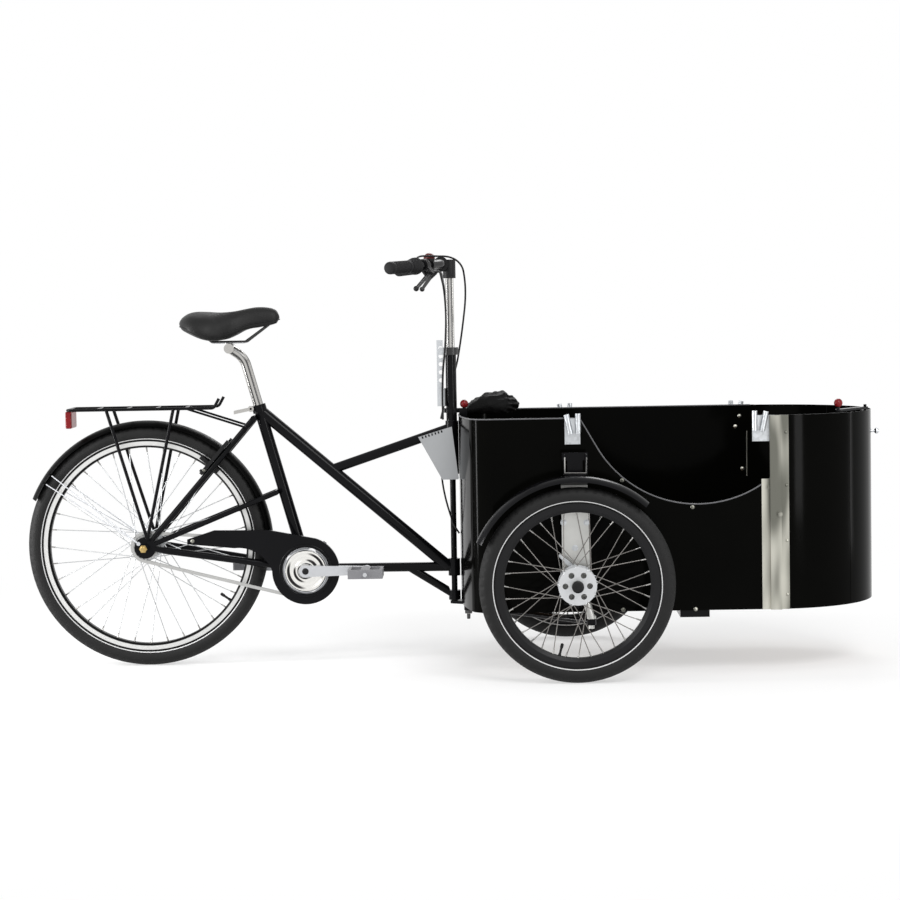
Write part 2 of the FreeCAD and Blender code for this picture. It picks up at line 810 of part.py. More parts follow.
def rear_stays():
    """Seat, middle and chain stays on both sides, two bridges and two dropouts."""
    middle = V.dropout_half_spread + V.dropout_thickness / 2
    solids = []
    seat_solid = rod(bracket_centre, seat_top, V.seat_tube_diameter)
    shell_solid = rod(
        bracket_centre - LEFT * V.bracket_shell_width, bracket_centre + LEFT * V.bracket_shell_width,
        V.bracket_shell_diameter)
    mid_share = (V.mid_stay_height - V.bracket_height) / (V.seat_tube_length * math.sin(seat_angle))
    seat_join = seat_top - seat_way * V.seat_stay_drop
    mid_join = bracket_centre + seat_way * V.seat_tube_length * mid_share
    behind = Vector(-math.sin(seat_angle), 0, -math.cos(seat_angle))
    plates = {side: stay_plate(side) for side in (RIGHT_SIDE, LEFT_SIDE)}
    solids += list(plates.values())
    for join, diameter in (
            (seat_join, V.seat_stay_diameter), (mid_join, V.mid_stay_diameter)):
        bridge_centre = join + behind * (V.seat_tube_diameter / 2 + diameter / 4)
        reach = LEFT * (V.stay_half_spread + diameter / 2)
        bridge_solid = rod(bridge_centre - reach, bridge_centre + reach, diameter)
        solids.append(bridge_solid.cut(seat_solid))
        pair = []
        for side in (RIGHT_SIDE, LEFT_SIDE):
            top = bridge_centre + LEFT * side * V.stay_half_spread
            foot = Vector(REAR_AXLE, side * middle, REAR_RADIUS)
            pair.append(stay(top, foot, diameter, bridge_solid, plates[side]))
        way = Vector(bridge_centre.x - REAR_AXLE, 0, bridge_centre.z - REAR_RADIUS)
        way.normalize()
        rest = V.fender_clearance + REAR_RADIUS + V.running_gap + V.fender_bridge_diameter / 2
        spot = Vector(REAR_AXLE, 0, REAR_RADIUS) + way * rest
        cross = rod(spot - LEFT * middle, spot + LEFT * middle, V.fender_bridge_diameter)
        solids.append(max(cross.cut(pair).Solids, key=lambda piece: abs(piece.Volume)))
        solids += pair
    for side in (RIGHT_SIDE, LEFT_SIDE):
        top = bracket_centre + LEFT * side * V.chain_stay_offset
        foot = Vector(REAR_AXLE, side * middle, REAR_RADIUS)
        solids.append(stay(top, foot, V.chain_stay_diameter, shell_solid, plates[side]))
    return solids


def stay(top, axle_spot, diameter, landing, plate):
    """A stay coped at its top, narrowed and slotted over the dropout plate at its foot."""
    way = (top - axle_spot).normalize()
    foot = axle_spot + way * V.dropout_socket
    neck = foot + way * V.dropout_neck
    tube = rod(neck, top, diameter)
    tip = Part.makeCone(V.dropout_thickness, diameter / 2, V.dropout_neck, foot, way)
    return tube.fuse(tip).cut(landing).cut(plate)


# Rear axle with its nuts, clamped in the dropouts

def rear_axle():
    """A plain axle with a nut and washer outside each dropout."""
    nut = V.axle_diameter * axle_nut_share
    outside = V.dropout_half_spread + V.dropout_thickness
    end = outside + nut * nut_length_share
    radius = V.axle_diameter / 2
    profile = [
        (0, -end), (radius, -end), (radius, -outside - nut), (nut, -outside - nut),
        (nut, -outside), (radius, -outside), (radius, outside), (nut, outside),
        (nut, outside + nut), (radius, outside + nut), (radius, end), (0, end),
    ]
    return along_y(profile).translated(rear_centre)


# Pivots of the rim brake

stay_top_spot = seat_top - seat_way * V.seat_stay_drop + Vector(
    -math.sin(seat_angle), 0, -math.cos(seat_angle)) * (V.seat_tube_diameter / 2 + V.seat_stay_diameter / 4)
stay_way = Vector(stay_top_spot.x - REAR_AXLE, 0, stay_top_spot.z - REAR_RADIUS)
stay_run = stay_way.Length
stay_way.normalize()
boss_way = Vector(-stay_way.z, 0, stay_way.x)
dropout_middle = V.dropout_half_spread + V.dropout_thickness / 2
boss_side = dropout_middle + (V.stay_half_spread - dropout_middle) * V.brake_boss_radius / stay_run
boss_spot = rear_centre + stay_way * V.brake_boss_radius - LEFT * boss_side


def brake_bosses():
    """The pivots of the rim brake, standing on the seat stays."""
    start = boss_spot + boss_way * (V.seat_stay_diameter * boss_sink_share)
    boss = rod(start, boss_spot + boss_way * V.brake_boss_length, V.brake_boss_diameter)
    stay_line = rod(
        rear_centre - LEFT * dropout_middle, rear_centre + stay_way * stay_run - LEFT * V.stay_half_spread,
        V.seat_stay_diameter)
    return both_sides(boss.cut(stay_line)).Solids


part("rear_stays", Part.makeCompound(rear_stays() + [rear_axle()] + brake_bosses()))


# Bearings: head bushes, lower bushes and the two bracket cups

def bearings():
    """Six plain bushes, each seated in its housing."""
    head_bore = V.head_journal_diameter + V.running_gap * 2
    shaft_bore = V.shaft_diameter + V.running_gap * 2
    lower_length = V.brace_eye_top - V.brace_eye_bottom
    cup_bore = V.spindle_diameter + V.running_gap * 2
    cup_start = bracket_centre - LEFT * V.bracket_shell_width / 2
    cup_end = bracket_centre + LEFT * (V.bracket_shell_width / 2 - V.bush_length)
    lower_bottom = V.lower_head_bottom
    upper_bottom = V.head_tube_top - V.bush_length
    return Part.makeCompound([
        ring(V.head_bush_diameter, head_bore, column_point(V.head_tube_bottom), UP, V.bush_length),
        ring(V.head_bush_diameter, head_bore, column_point(upper_bottom), UP, V.bush_length),
        ring(V.lower_bush_diameter, shaft_bore, column_point(lower_bottom), UP, V.bush_length),
        ring(V.lower_bush_diameter, shaft_bore, column_point(V.brace_eye_bottom), UP, lower_length),
        ring(V.lower_head_diameter, cup_bore, cup_start, LEFT, V.bush_length),
        ring(V.lower_head_diameter, cup_bore, cup_end, LEFT, V.bush_length),
    ])


part("bearings", bearings())


# Steering column with the pitman plate and its two studs

ARM_TOP = V.rod_height + V.rod_eye_length / 2 + V.upright_gap + V.arm_thickness
ARM_BOTTOM = ARM_TOP - V.arm_thickness


def stud(spot):
    """A tie rod stud hanging from an arm, with a nut below the rod's eye."""
    nut_top = V.rod_height - V.rod_eye_length / 2 - V.upright_gap
    nut_bottom = nut_top - V.stud_nut_length
    pin = Part.makeCylinder(
        V.stud_diameter / 2, ARM_TOP - nut_bottom, Vector(spot.x, spot.y, nut_bottom), UP)
    nut = Part.makeCylinder(
        V.stud_nut_diameter / 2, V.stud_nut_length, Vector(spot.x, spot.y, nut_bottom), UP)
    return pin.fuse(nut)


def pitman_spot(side):
    """Where a tie rod hangs on the column's plate."""
    return Vector(COLUMN_X + V.arm_forward, side * V.arm_sideways, V.rod_height)


def steering_column():
    """A stepped column: thin shaft, head journal and a bored upper tube."""
    shaft = V.shaft_diameter / 2
    journal = V.head_journal_diameter / 2
    tube = V.column_diameter / 2
    bore = V.stem_diameter / 2 + V.running_gap
    bore_bottom = V.stem_bottom - V.collar_diameter
    journal_bottom = V.head_tube_bottom - V.upright_gap
    tube_bottom = V.head_tube_top + V.upright_gap
    profile = [
        (0, ARM_BOTTOM), (shaft, ARM_BOTTOM), (shaft, journal_bottom), (journal, journal_bottom),
        (journal, tube_bottom), (tube, tube_bottom), (tube, V.column_top), (bore, V.column_top),
        (bore, bore_bottom), (0, bore_bottom),
    ]
    column = turned(profile, column_point(0), UP)
    for side in (RIGHT_SIDE, LEFT_SIDE):
        spot = pitman_spot(side)
        arm = link_plate(column_point(0), spot, V.arm_width, ARM_BOTTOM, V.arm_thickness)
        column = column.fuse([arm, stud(spot)])
    return column


part("steering_column", steering_column())


def column_collar():
    """The clamp ring at the top of the column, split at the back."""
    bottom = V.column_top - V.collar_height
    outer = ring(V.collar_diameter, V.column_diameter, column_point(bottom), UP, V.collar_height)
    ear = Part.makeBox(
        V.collar_height, V.collar_height, V.collar_height,
        Vector(COLUMN_X - V.collar_diameter / 2 - V.collar_height / 2, -V.collar_height / 2, bottom))
    bore = Part.makeCylinder(V.column_diameter / 2, V.collar_height, column_point(bottom), UP)
    slot = Part.makeBox(
        V.collar_diameter, V.sheet_thickness, V.collar_height,
        Vector(COLUMN_X - V.collar_diameter, -V.sheet_thickness / 2, bottom))
    return outer.fuse(ear).cut(bore).cut(slot)


def cable_block():
    """A perforated zinc plate and a black block that gather the cables behind the column."""
    back = COLUMN_X - V.column_diameter / 2
    block_high = V.column_top - V.collar_height * block_top_share
    block_low = block_high - V.collar_height * block_height_share
    depth = V.column_diameter * block_depth_share
    half = V.column_diameter * block_half_share
    body = Part.makeBox(depth, half * 2, block_high - block_low, Vector(back - depth, -half, block_low))
    saddle = Part.makeCylinder(V.column_diameter / 2, block_high, column_point(0), UP)
    plate_low = block_high
    plate_high = V.column_top + V.collar_height * plate_top_share
    plate_depth = V.column_diameter * plate_depth_share
    plate_back = back - depth
    plate = Part.makeBox(
        plate_depth, V.socket_plate, plate_high - plate_low,
        Vector(plate_back, -V.socket_plate / 2, plate_low))
    hole_share = 0.27
    holes = []
    for number in range(1, 6):
        height = plate_low + (plate_high - plate_low) * number / 6
        spot = Vector(plate_back + plate_depth / 2, -V.socket_plate, height)
        holes.append(Part.makeCylinder(plate_depth * hole_share, V.socket_plate * 2, spot, LEFT))
    clearance = Part.makeCylinder(
        V.collar_diameter / 2 + V.upright_gap, plate_high, column_point(0), UP)
    return body.cut(saddle).fuse(plate.cut(holes).cut(clearance))


# Tie rods: a bar between two eyes

def knuckle_spot(side):
    """Where a tie rod hangs on a knuckle's arm."""
    inward = HALF_TRACK - V.kingpin_inset + V.arm_sideways
    return Vector(FRONT_AXLE + V.arm_forward, side * inward, V.rod_height)


def tie_rod(side):
    """A straight rod with a bored eye at each end."""
    ends = (pitman_spot(side), knuckle_spot(side))
    drop = UP * (V.rod_eye_length / 2)
    body = rod(ends[0], ends[1], V.rod_diameter)
    eyes = [Part.makeCylinder(V.rod_eye_diameter / 2, V.rod_eye_length, end - drop, UP) for end in ends]
    bore = V.stud_diameter / 2 + V.running_gap
    holes = [Part.makeCylinder(bore, V.rod_eye_length, end - drop, UP) for end in ends]
    return body.fuse(eyes).cut(holes)


part("tie_rod_right", tie_rod(RIGHT_SIDE))
part("tie_rod_left", tie_rod(LEFT_SIDE))


# Kingpin brackets on the box and the knuckles that swing on them, right side first

KINGPIN_Y = HALF_TRACK - V.kingpin_inset
wall_face = V.box_half_width


def kingpin_bracket():
    """A channel on the box wall with two lugs and the pin that they hold."""
    half = V.lug_width / 2
    low = V.lower_lug_height - V.lug_thickness
    high = V.upper_lug_height + V.lug_thickness
    plate = Part.makeBox(
        V.lug_width * wall_plate_share, V.bracket_plate, high - low,
        Vector(FRONT_AXLE - V.lug_width * wall_plate_share / 2, -wall_face - V.bracket_plate, low))
    solids = []
    for height in (V.lower_lug_height - V.lug_thickness, V.upper_lug_height):
        reach = KINGPIN_Y - wall_face - V.bracket_plate
        arm = Part.makeBox(V.lug_width, reach, V.lug_thickness,
                           Vector(FRONT_AXLE - half, -KINGPIN_Y, height))
        nose = Part.makeCylinder(half, V.lug_thickness, Vector(FRONT_AXLE, -KINGPIN_Y, height), UP)
        solids += [arm, nose]
    pin = Part.makeCylinder(
        V.kingpin_diameter / 2, V.kingpin_top - V.kingpin_bottom,
        Vector(FRONT_AXLE, -KINGPIN_Y, V.kingpin_bottom), UP)
    return plate.fuse(solids + [pin])


part("kingpin_brackets", both_sides(kingpin_bracket()))


def knuckle():
    """Upright tube, folded plate, stub axle, brake plate, steering strut and its stud."""
    tube_low = V.lower_lug_height + V.upright_gap
    tube_high = V.upper_lug_height - V.upright_gap
    axis_low = Vector(FRONT_AXLE, -KINGPIN_Y, tube_low)
    upright = ring(
        V.upright_diameter, V.kingpin_diameter + V.running_gap * 2, axis_low, UP, tube_high - tube_low)
    web_inner = KINGPIN_Y + V.upright_diameter / 2 + V.knuckle_flange - V.knuckle_sheet
    half = V.knuckle_width / 2
    top_share = 0.86
    outline = [
        (FRONT_AXLE - half, V.knuckle_bottom), (FRONT_AXLE + half, V.knuckle_bottom),
        (FRONT_AXLE + half * top_share, V.knuckle_top), (FRONT_AXLE - half, V.knuckle_top),
    ]
    web = upright_plate(outline, -web_inner - V.knuckle_sheet, V.knuckle_sheet)
    flange_depth = V.knuckle_flange
    flange = upright_plate(outline, -web_inner, flange_depth)
    inset = V.knuckle_sheet / half
    hollow_outline = [
        (FRONT_AXLE + (x - FRONT_AXLE) * (1 - inset), z) for x, z in outline]
    hollow = upright_plate(hollow_outline, -web_inner, flange_depth)
    rib = Part.makeBox(
        V.knuckle_sheet, V.knuckle_flange, V.upright_diameter * 5,
        Vector(FRONT_AXLE - V.knuckle_sheet / 2, -web_inner, V.knuckle_bottom + V.upright_diameter * 2))
    axle_end = HALF_TRACK + V.front_flange_spread / 2 + V.front_cap_length + V.axle_diameter
    axle = rod(
        Vector(FRONT_AXLE, -web_inner, FRONT_RADIUS), Vector(FRONT_AXLE, -axle_end, FRONT_RADIUS),
        V.axle_diameter)
    nut_start = HALF_TRACK + V.front_flange_spread / 2 + V.flange_thickness
    cap = Part.makeCylinder(
        V.front_cap_radius, V.front_cap_length, Vector(FRONT_AXLE, -nut_start, FRONT_RADIUS), -LEFT)
    drum_edge = HALF_TRACK - V.front_flange_spread / 2 - V.flange_thickness * drum_gap_share
    brake_disc = Part.makeCylinder(
        V.brake_plate_radius, V.brake_plate_thickness,
        Vector(FRONT_AXLE, -drum_edge, FRONT_RADIUS), LEFT)
    boss = rod(
        Vector(FRONT_AXLE, -web_inner, FRONT_RADIUS), Vector(FRONT_AXLE, -drum_edge, FRONT_RADIUS),
        V.upright_diameter)
    arm_pin = rod(
        Vector(FRONT_AXLE, -drum_edge, FRONT_RADIUS + V.brake_pin_height),
        Vector(FRONT_AXLE, V.brake_plate_thickness * 2 - drum_edge, FRONT_RADIUS + V.brake_pin_height),
        V.stud_diameter)
    spot = knuckle_spot(RIGHT_SIDE)
    strut_top = Vector(FRONT_AXLE + half / 2, -web_inner - V.knuckle_sheet / 2, V.knuckle_bottom + half / 2)
    strut_foot = Vector(spot.x, spot.y - V.arm_width / 6, ARM_TOP - V.arm_thickness / 2)
    strut = rod(strut_top, strut_foot, V.strut_diameter)
    foot = Part.makeCylinder(V.arm_width / 2, V.arm_thickness, Vector(spot.x, spot.y, ARM_BOTTOM), UP)
    below = Part.makeBox(
        V.arm_width * 4, V.arm_width * 4, V.arm_width,
        Vector(spot.x - V.arm_width * 2, spot.y - V.arm_width * 2, ARM_BOTTOM - V.arm_width))
    body = upright.fuse([
        web, flange.cut(hollow), rib, axle, cap, brake_disc, boss, arm_pin, strut.cut(below), foot,
        stud(spot)])
    pin_room = Part.makeCylinder(
        V.kingpin_diameter / 2 + V.running_gap, tube_high - tube_low, axis_low, UP)
    return body.cut(pin_room)


def fender_carrier():
    """A strip on the knuckle's plate with a T head, and the bent wire that it carries."""
    half = V.fender_wire_width / 2
    web = KINGPIN_Y + V.upright_diameter / 2 + V.knuckle_flange - V.knuckle_sheet
    crown = HALF_TRACK - V.fender_wire_inset
    arch = (V.front_fender_width ** 2 / 4 + V.fender_skirt ** 2) / (2 * V.fender_skirt)
    fall = arch - math.sqrt(arch ** 2 - V.fender_wire_inset ** 2)
    base = FRONT_RADIUS * 2 + V.front_fender_clearance - fall + V.wire_diameter / 2 + V.running_gap
    top = base + V.fender_wire_rise
    neck = half * strip_neck_share
    head = half + V.wire_diameter
    low = V.knuckle_top - V.fender_wire_width
    head_low = top - V.wire_diameter * 3
    head_high = top + V.wire_diameter
    right_half = [(neck, low), (neck, head_low), (head, head_low), (head, head_high)]
    outline = [(FRONT_AXLE + x, z) for x, z in right_half]
    outline += [(FRONT_AXLE - x, z) for x, z in reversed(right_half)]
    strip = upright_plate(outline, -web, V.strip_thickness)
    points = [
        Vector(FRONT_AXLE - half, -web, top), Vector(FRONT_AXLE - half, -web - V.fender_wire_inset, top),
        Vector(FRONT_AXLE - half, -crown, base)]
    points += [Vector(2 * FRONT_AXLE - spot.x, spot.y, spot.z) for spot in reversed(points)]
    return [strip, bent_rod(points, V.wire_diameter, V.wire_diameter)]


right_knuckle = knuckle()
part("knuckle_right", right_knuckle)
part("knuckle_left", mirrored(right_knuckle))


# Fenders: a curved sheet turned through part of a circle

def fender(outer_radius, width, front_angle, rear_angle):
    """A sheet arched across the tyre, turned from its front to its rear angle."""
    half = width / 2
    low = outer_radius - V.fender_skirt
    outer = Part.Arc(Vector(low, -half, 0), Vector(outer_radius, 0, 0), Vector(low, half, 0))
    wall = V.fender_thickness
    inner = Part.Arc(
        Vector(low, half - wall, 0), Vector(outer_radius - wall, 0, 0), Vector(low, wall - half, 0))
    edges = [
        outer.toShape(), inner.toShape(),
        Part.LineSegment(Vector(low, half, 0), Vector(low, half - wall, 0)).toShape(),
        Part.LineSegment(Vector(low, -half, 0), Vector(low, wall - half, 0)).toShape(),
    ]
    face = Part.Face(Part.Wire(Part.__sortEdges__(edges)))
    face.rotate(Vector(0, 0, 0), LEFT, -front_angle)
    return face.revolve(Vector(0, 0, 0), LEFT, front_angle - rear_angle)


front_fender_shape = fender(
    FRONT_RADIUS + V.front_fender_clearance, V.front_fender_width,
    V.front_fender_front_angle, V.front_fender_rear_angle).translated(right_wheel_centre)
front_fender_set = Part.makeCompound([front_fender_shape] + fender_carrier())
part("front_fender_right", front_fender_set)
part("front_fender_left", mirrored(front_fender_set))

rear_fender_radius = REAR_RADIUS + V.fender_clearance
rear_fender_shape = fender(
    rear_fender_radius, V.rear_fender_width,
    V.rear_fender_front_angle, V.rear_fender_rear_angle).translated(rear_centre)


def fender_stays():
    """Two wires on each side, from an eye on the dropout to the side of the rear fender."""
    outside = V.dropout_half_spread + V.dropout_thickness
    turn = math.radians(V.fender_stay_angle)
    way = Vector(math.cos(turn), 0, math.sin(turn))
    foot = rear_centre + way * (V.dropout_radius * stay_eye_share) - LEFT * outside
    eye = rod(foot, foot - LEFT * V.fender_stay_diameter * 2, V.fender_stay_diameter * 3)
    start = foot - LEFT * V.fender_stay_diameter
    radius = rear_fender_radius - V.fender_skirt * stay_hold_share
    side = V.rear_fender_width / 2 - V.fender_thickness
    solids = [eye]
    for end in (-1, 1):
        spread = math.radians(V.fender_stay_angle + end * V.fender_stay_spread)
        hold = rear_centre + Vector(math.cos(spread), 0, math.sin(spread)) * radius - LEFT * side
        solids.append(rod(start, hold, V.fender_stay_diameter))
    return solids


right_stays = fender_stays()
part("rear_fender", rear_fender_shape.fuse(right_stays + [mirrored(stay) for stay in right_stays]))


# Cargo box: bent shell, two nose cheeks, floor and the frame under the floor

NOSE_X = FRONT_AXLE + V.nose_reach - V.box_half_width
BOX_REAR_X = FRONT_AXLE - V.box_rear
BOX_HEIGHT = V.rim_height - V.skirt_height


def box_path(inset):
    """The plan outline of the shell, from the right post round the back to the left."""
    half = V.box_half_width - inset
    bow = V.box_rear_bow - inset
    corner = V.box_corner_radius - inset
    bow_x = BOX_REAR_X + V.box_rear_bow
    corner_y = V.box_half_width - V.box_corner_radius
    between = V.box_rear_bow - V.box_corner_radius
    corner_x = bow_x - math.sqrt(between ** 2 - corner_y ** 2)
    lean = math.atan2(corner_y, bow_x - corner_x)
    touch = Vector(bow_x - bow * math.cos(lean), bow * math.sin(lean), 0)
    half_lean = (lean + math.pi / 2) / 2
    knee = Vector(corner_x - corner * math.cos(half_lean), corner_y + corner * math.sin(half_lean), 0)
    tangent = Vector(corner_x, half, 0)
    end = Vector(NOSE_X, half, 0)
    crown = Vector(BOX_REAR_X + inset, 0, 0)

    def right(spot):
        return Vector(spot.x, -spot.y, 0)

    return [
        Part.LineSegment(right(end), right(tangent)),
        Part.Arc(right(tangent), right(knee), right(touch)),
        Part.Arc(right(touch), crown, touch),
        Part.Arc(touch, knee, tangent),
        Part.LineSegment(tangent, end),
    ]


def sheet_between(outer, inner):
    """A flat face between two open outlines, closed at their ends."""
    edges = [curve.toShape() for curve in outer + inner]
    for index in (0, -1):
        pick = "StartPoint" if index == 0 else "EndPoint"
        edges.append(Part.LineSegment(
            getattr(outer[index], pick), getattr(inner[index], pick)).toShape())
    return Part.Face(Part.Wire(Part.__sortEdges__(edges)))


def dip_prism(near, far):
    """Everything above the curved entry in the right wall."""
    centre_x = FRONT_AXLE + V.dip_centre_ahead
    centre_z = V.dip_height + V.dip_radius
    slope = math.radians(V.dip_slope)
    top = V.rim_height + V.cut_overrun
    start = Vector(
        centre_x - V.dip_radius * math.sin(slope), near, centre_z - V.dip_radius * math.cos(slope))
    back = Vector(start.x - (top - start.z) / math.tan(slope), near, top)
    lowest = Vector(centre_x, near, V.dip_height)
    end_x = NOSE_X + V.cut_overrun
    end_z = centre_z - math.sqrt(V.dip_radius ** 2 - (end_x - centre_x) ** 2)
    end = Vector(end_x, near, end_z)
    corner = Vector(end_x, near, top)
    edges = [
        Part.LineSegment(back, start).toShape(), Part.Arc(start, lowest, end).toShape(),
        Part.LineSegment(end, corner).toShape(), Part.LineSegment(corner, back).toShape(),
    ]
    return Part.Face(Part.Wire(edges)).extrude(LEFT * (far - near))


def box_shell():
    """Rear and side walls from one bent sheet, with the entry cut in the right side."""
    face = sheet_between(box_path(0), box_path(V.sheet_thickness))
    walls = face.extrude(UP * BOX_HEIGHT).translated(UP * V.skirt_height)
    inside = V.box_half_width - V.sheet_thickness - V.cut_overrun
    return walls.cut(dip_prism(-V.box_half_width - V.cut_overrun, -inside))


part("box_shell", box_shell())


def nose_band(from_angle, to_angle, inner, outer, bottom, height):
    """A piece of the round nose between two plan angles and two radii."""
    start = math.radians(from_angle)
    end = math.radians(to_angle)

    def spot(radius, angle):
        return Vector(NOSE_X + radius * math.cos(angle), radius * math.sin(angle), bottom)

    arcs = [Part.Arc(spot(r, start), spot(r, (start + end) / 2), spot(r, end)) for r in (outer, inner)]
    return sheet_between(arcs[:1], arcs[1:]).extrude(UP * height)


def nose_panel(from_angle, to_angle):
    """A full-height piece of the nose's sheet."""
    inner = V.box_half_width - V.sheet_thickness
    return nose_band(from_angle, to_angle, inner, V.box_half_width, V.skirt_height, BOX_HEIGHT)


def hinge_axis_spot():
    """Plan place of the door hinge, just outside the left seam."""
    angle = math.radians(V.door_half_angle)
    radius = V.box_half_width + V.hinge_barrel_diameter / 2
    return Vector(NOSE_X + radius * math.cos(angle), radius * math.sin(angle), 0)


HINGE = hinge_axis_spot()
HINGE_HEIGHTS = (
    V.skirt_height + V.hinge_length * hinge_low_share, V.rim_height - V.hinge_length * hinge_high_share)


def hinge_barrels(first, last):
    """Hinge knuckles from one share of the hinge's length to another, both hinges."""
    bore = V.hinge_pin_diameter + V.running_gap * 2
    barrels = []
    for base in HINGE_HEIGHTS:
        low = base + V.hinge_length * first + V.upright_gap
        high = base + V.hinge_length * last - V.upright_gap
        spot = Vector(HINGE.x, HINGE.y, low)
        barrels.append(ring(V.hinge_barrel_diameter, bore, spot, UP, high - low))
    return barrels


def hinge_leaves(side, first, last):
    """Curved leaves that run from the barrels onto the sheet, on one side of the seam."""
    near = math.degrees(V.hinge_barrel_diameter / 4 / V.box_half_width)
    far = math.degrees(V.hinge_leaf_width / V.box_half_width)
    angles = sorted(V.door_half_angle + side * turn for turn in (near, far))
    outer = V.box_half_width + V.sheet_thickness
    leaves = []
    for base in HINGE_HEIGHTS:
        low = base + V.hinge_length * first + V.upright_gap
        high = base + V.hinge_length * last - V.upright_gap
        leaves.append(nose_band(angles[0], angles[1], V.box_half_width, outer, low, high - low))
    return leaves


def hinge_pins():
    """The pins through both hinges."""
    pins = []
    for base in HINGE_HEIGHTS:
        spot = Vector(HINGE.x, HINGE.y, base)
        pins.append(Part.makeCylinder(V.hinge_pin_diameter / 2, V.hinge_length, spot, UP))
    return pins


fixed_leaf_share = 0.5


def door_hinges():
    """The fixed half of both hinges with their pins."""
    leaves = hinge_leaves(1, 0, fixed_leaf_share)
    barrels = hinge_barrels(0, fixed_leaf_share)
    halves = [barrel.fuse(leaf) for barrel, leaf in zip(barrels, leaves)]
    return [half.cut(pin) for half, pin in zip(halves, hinge_pins())] + hinge_pins()


right_cheek = nose_panel(-90, -V.door_half_angle)
part("nose_cheeks", Part.makeCompound([right_cheek, mirrored(right_cheek)] + door_hinges()))


def nose_spot(angle, radius, height):
    """A point of the nose at a plan angle."""
    turn = math.radians(angle)
    return Vector(NOSE_X + radius * math.cos(turn), radius * math.sin(turn), height)


LATCH_PIVOT = nose_spot(V.latch_angle, V.box_half_width - V.latch_width / 2, V.rim_height)
LATCH_END = nose_spot(V.latch_end_angle, V.box_half_width - V.latch_width / 2, V.rim_height)


def front_door():
    """The curved front panel, welded to the moving half of its hinges and to the latch's pin."""
    gap_angle = math.degrees(V.door_gap / V.box_half_width)
    panel = nose_panel(gap_angle - V.door_half_angle, V.door_half_angle - gap_angle)
    leaves = hinge_leaves(-1, fixed_leaf_share, 1)
    barrels = hinge_barrels(fixed_leaf_share, 1)
    bores = [
        Part.makeCylinder(
            V.hinge_pin_diameter / 2 + V.running_gap, V.hinge_length, Vector(HINGE.x, HINGE.y, base), UP)
        for base in HINGE_HEIGHTS]
    halves = [barrel.fuse(leaf).cut(bores) for barrel, leaf in zip(barrels, leaves)]
    back = V.box_half_width - V.guide_length
    axis = Vector(NOSE_X + back, 0, V.pull_pin_height)
    nose = Part.makeCylinder(V.box_half_width, V.rim_height, Vector(NOSE_X, 0, 0), UP)
    guide = Part.makeCylinder(V.pull_pin_diameter, V.guide_length, axis, AHEAD).common(nose)
    hole = Part.makeCylinder(
        V.pull_pin_diameter / 2 + V.running_gap, V.guide_length * 2, axis, AHEAD)
    boss = Part.makeCylinder(
        V.latch_width / 2 + V.sheet_thickness, V.socket_height / 2,
        LATCH_PIVOT - UP * (V.socket_height / 2), UP).common(nose)
    pin = Part.makeCylinder(
        V.pull_pin_diameter / 2, V.socket_height / 2 + V.latch_thickness * pull_guide_share,
        LATCH_PIVOT - UP * (V.socket_height / 2), UP)
    return panel.fuse(halves + [guide, boss, pin]).cut(hole)


part("front_door", front_door())


def door_pull():
    """A spring pin through the door with a small mushroom head."""
    head = V.pull_pin_reach / 2
    inner = V.nose_reach - V.guide_length - V.pull_pin_travel
    radius = V.pull_pin_diameter / 2
    reach = V.nose_reach + V.pull_pin_reach
    profile = [
        (0, inner), (radius, inner), (radius, reach - head), (radius * 2, reach - head * 2 / 3),
        (radius * 2, reach - head / 3), (radius, reach), (0, reach),
    ]
    return turned(profile, Vector(FRONT_AXLE, 0, V.pull_pin_height), AHEAD)


part("door_pull", door_pull())


def box_floor():
    """The plywood floor, drawn in from the walls all round."""
    inset = V.sheet_thickness + V.upright_gap
    plan = [curve.toShape() for curve in box_path(inset)]
    radius = V.box_half_width - inset
    nose = Part.Arc(
        Vector(NOSE_X, -radius, 0), Vector(NOSE_X + radius, 0, 0), Vector(NOSE_X, radius, 0))
    face = Part.Face(Part.Wire(Part.__sortEdges__(plan + [nose.toShape()])))
    return face.extrude(UP * V.floor_thickness).translated(UP * V.floor_height)


part("box_floor", box_floor())


def under_frame():
    """A lengthwise beam, two cross beams and the cross member that shows below the wall."""
    half = V.beam_width / 2
    top = V.floor_height
    bottom = top - V.beam_height
    inner = V.box_half_width - V.sheet_thickness - V.upright_gap
    back = BOX_REAR_X + V.sheet_thickness + V.upright_gap * 10
    front = FRONT_AXLE + V.cross_member_ahead + V.cross_member_width / 2
    solids = [
        block("long_beam", Vector(back, -half, bottom), Vector(front, half, top)),
        block("axle_beam", Vector(FRONT_AXLE - half, -inner, bottom), Vector(FRONT_AXLE + half, inner, top)),
        block(
            "cross_member",
            Vector(front - V.cross_member_width, -inner, V.skirt_height - V.cross_member_drop),
            Vector(front, inner, top)),
    ]
    return fuse("under_frame", *solids)


part("under_frame", under_frame())


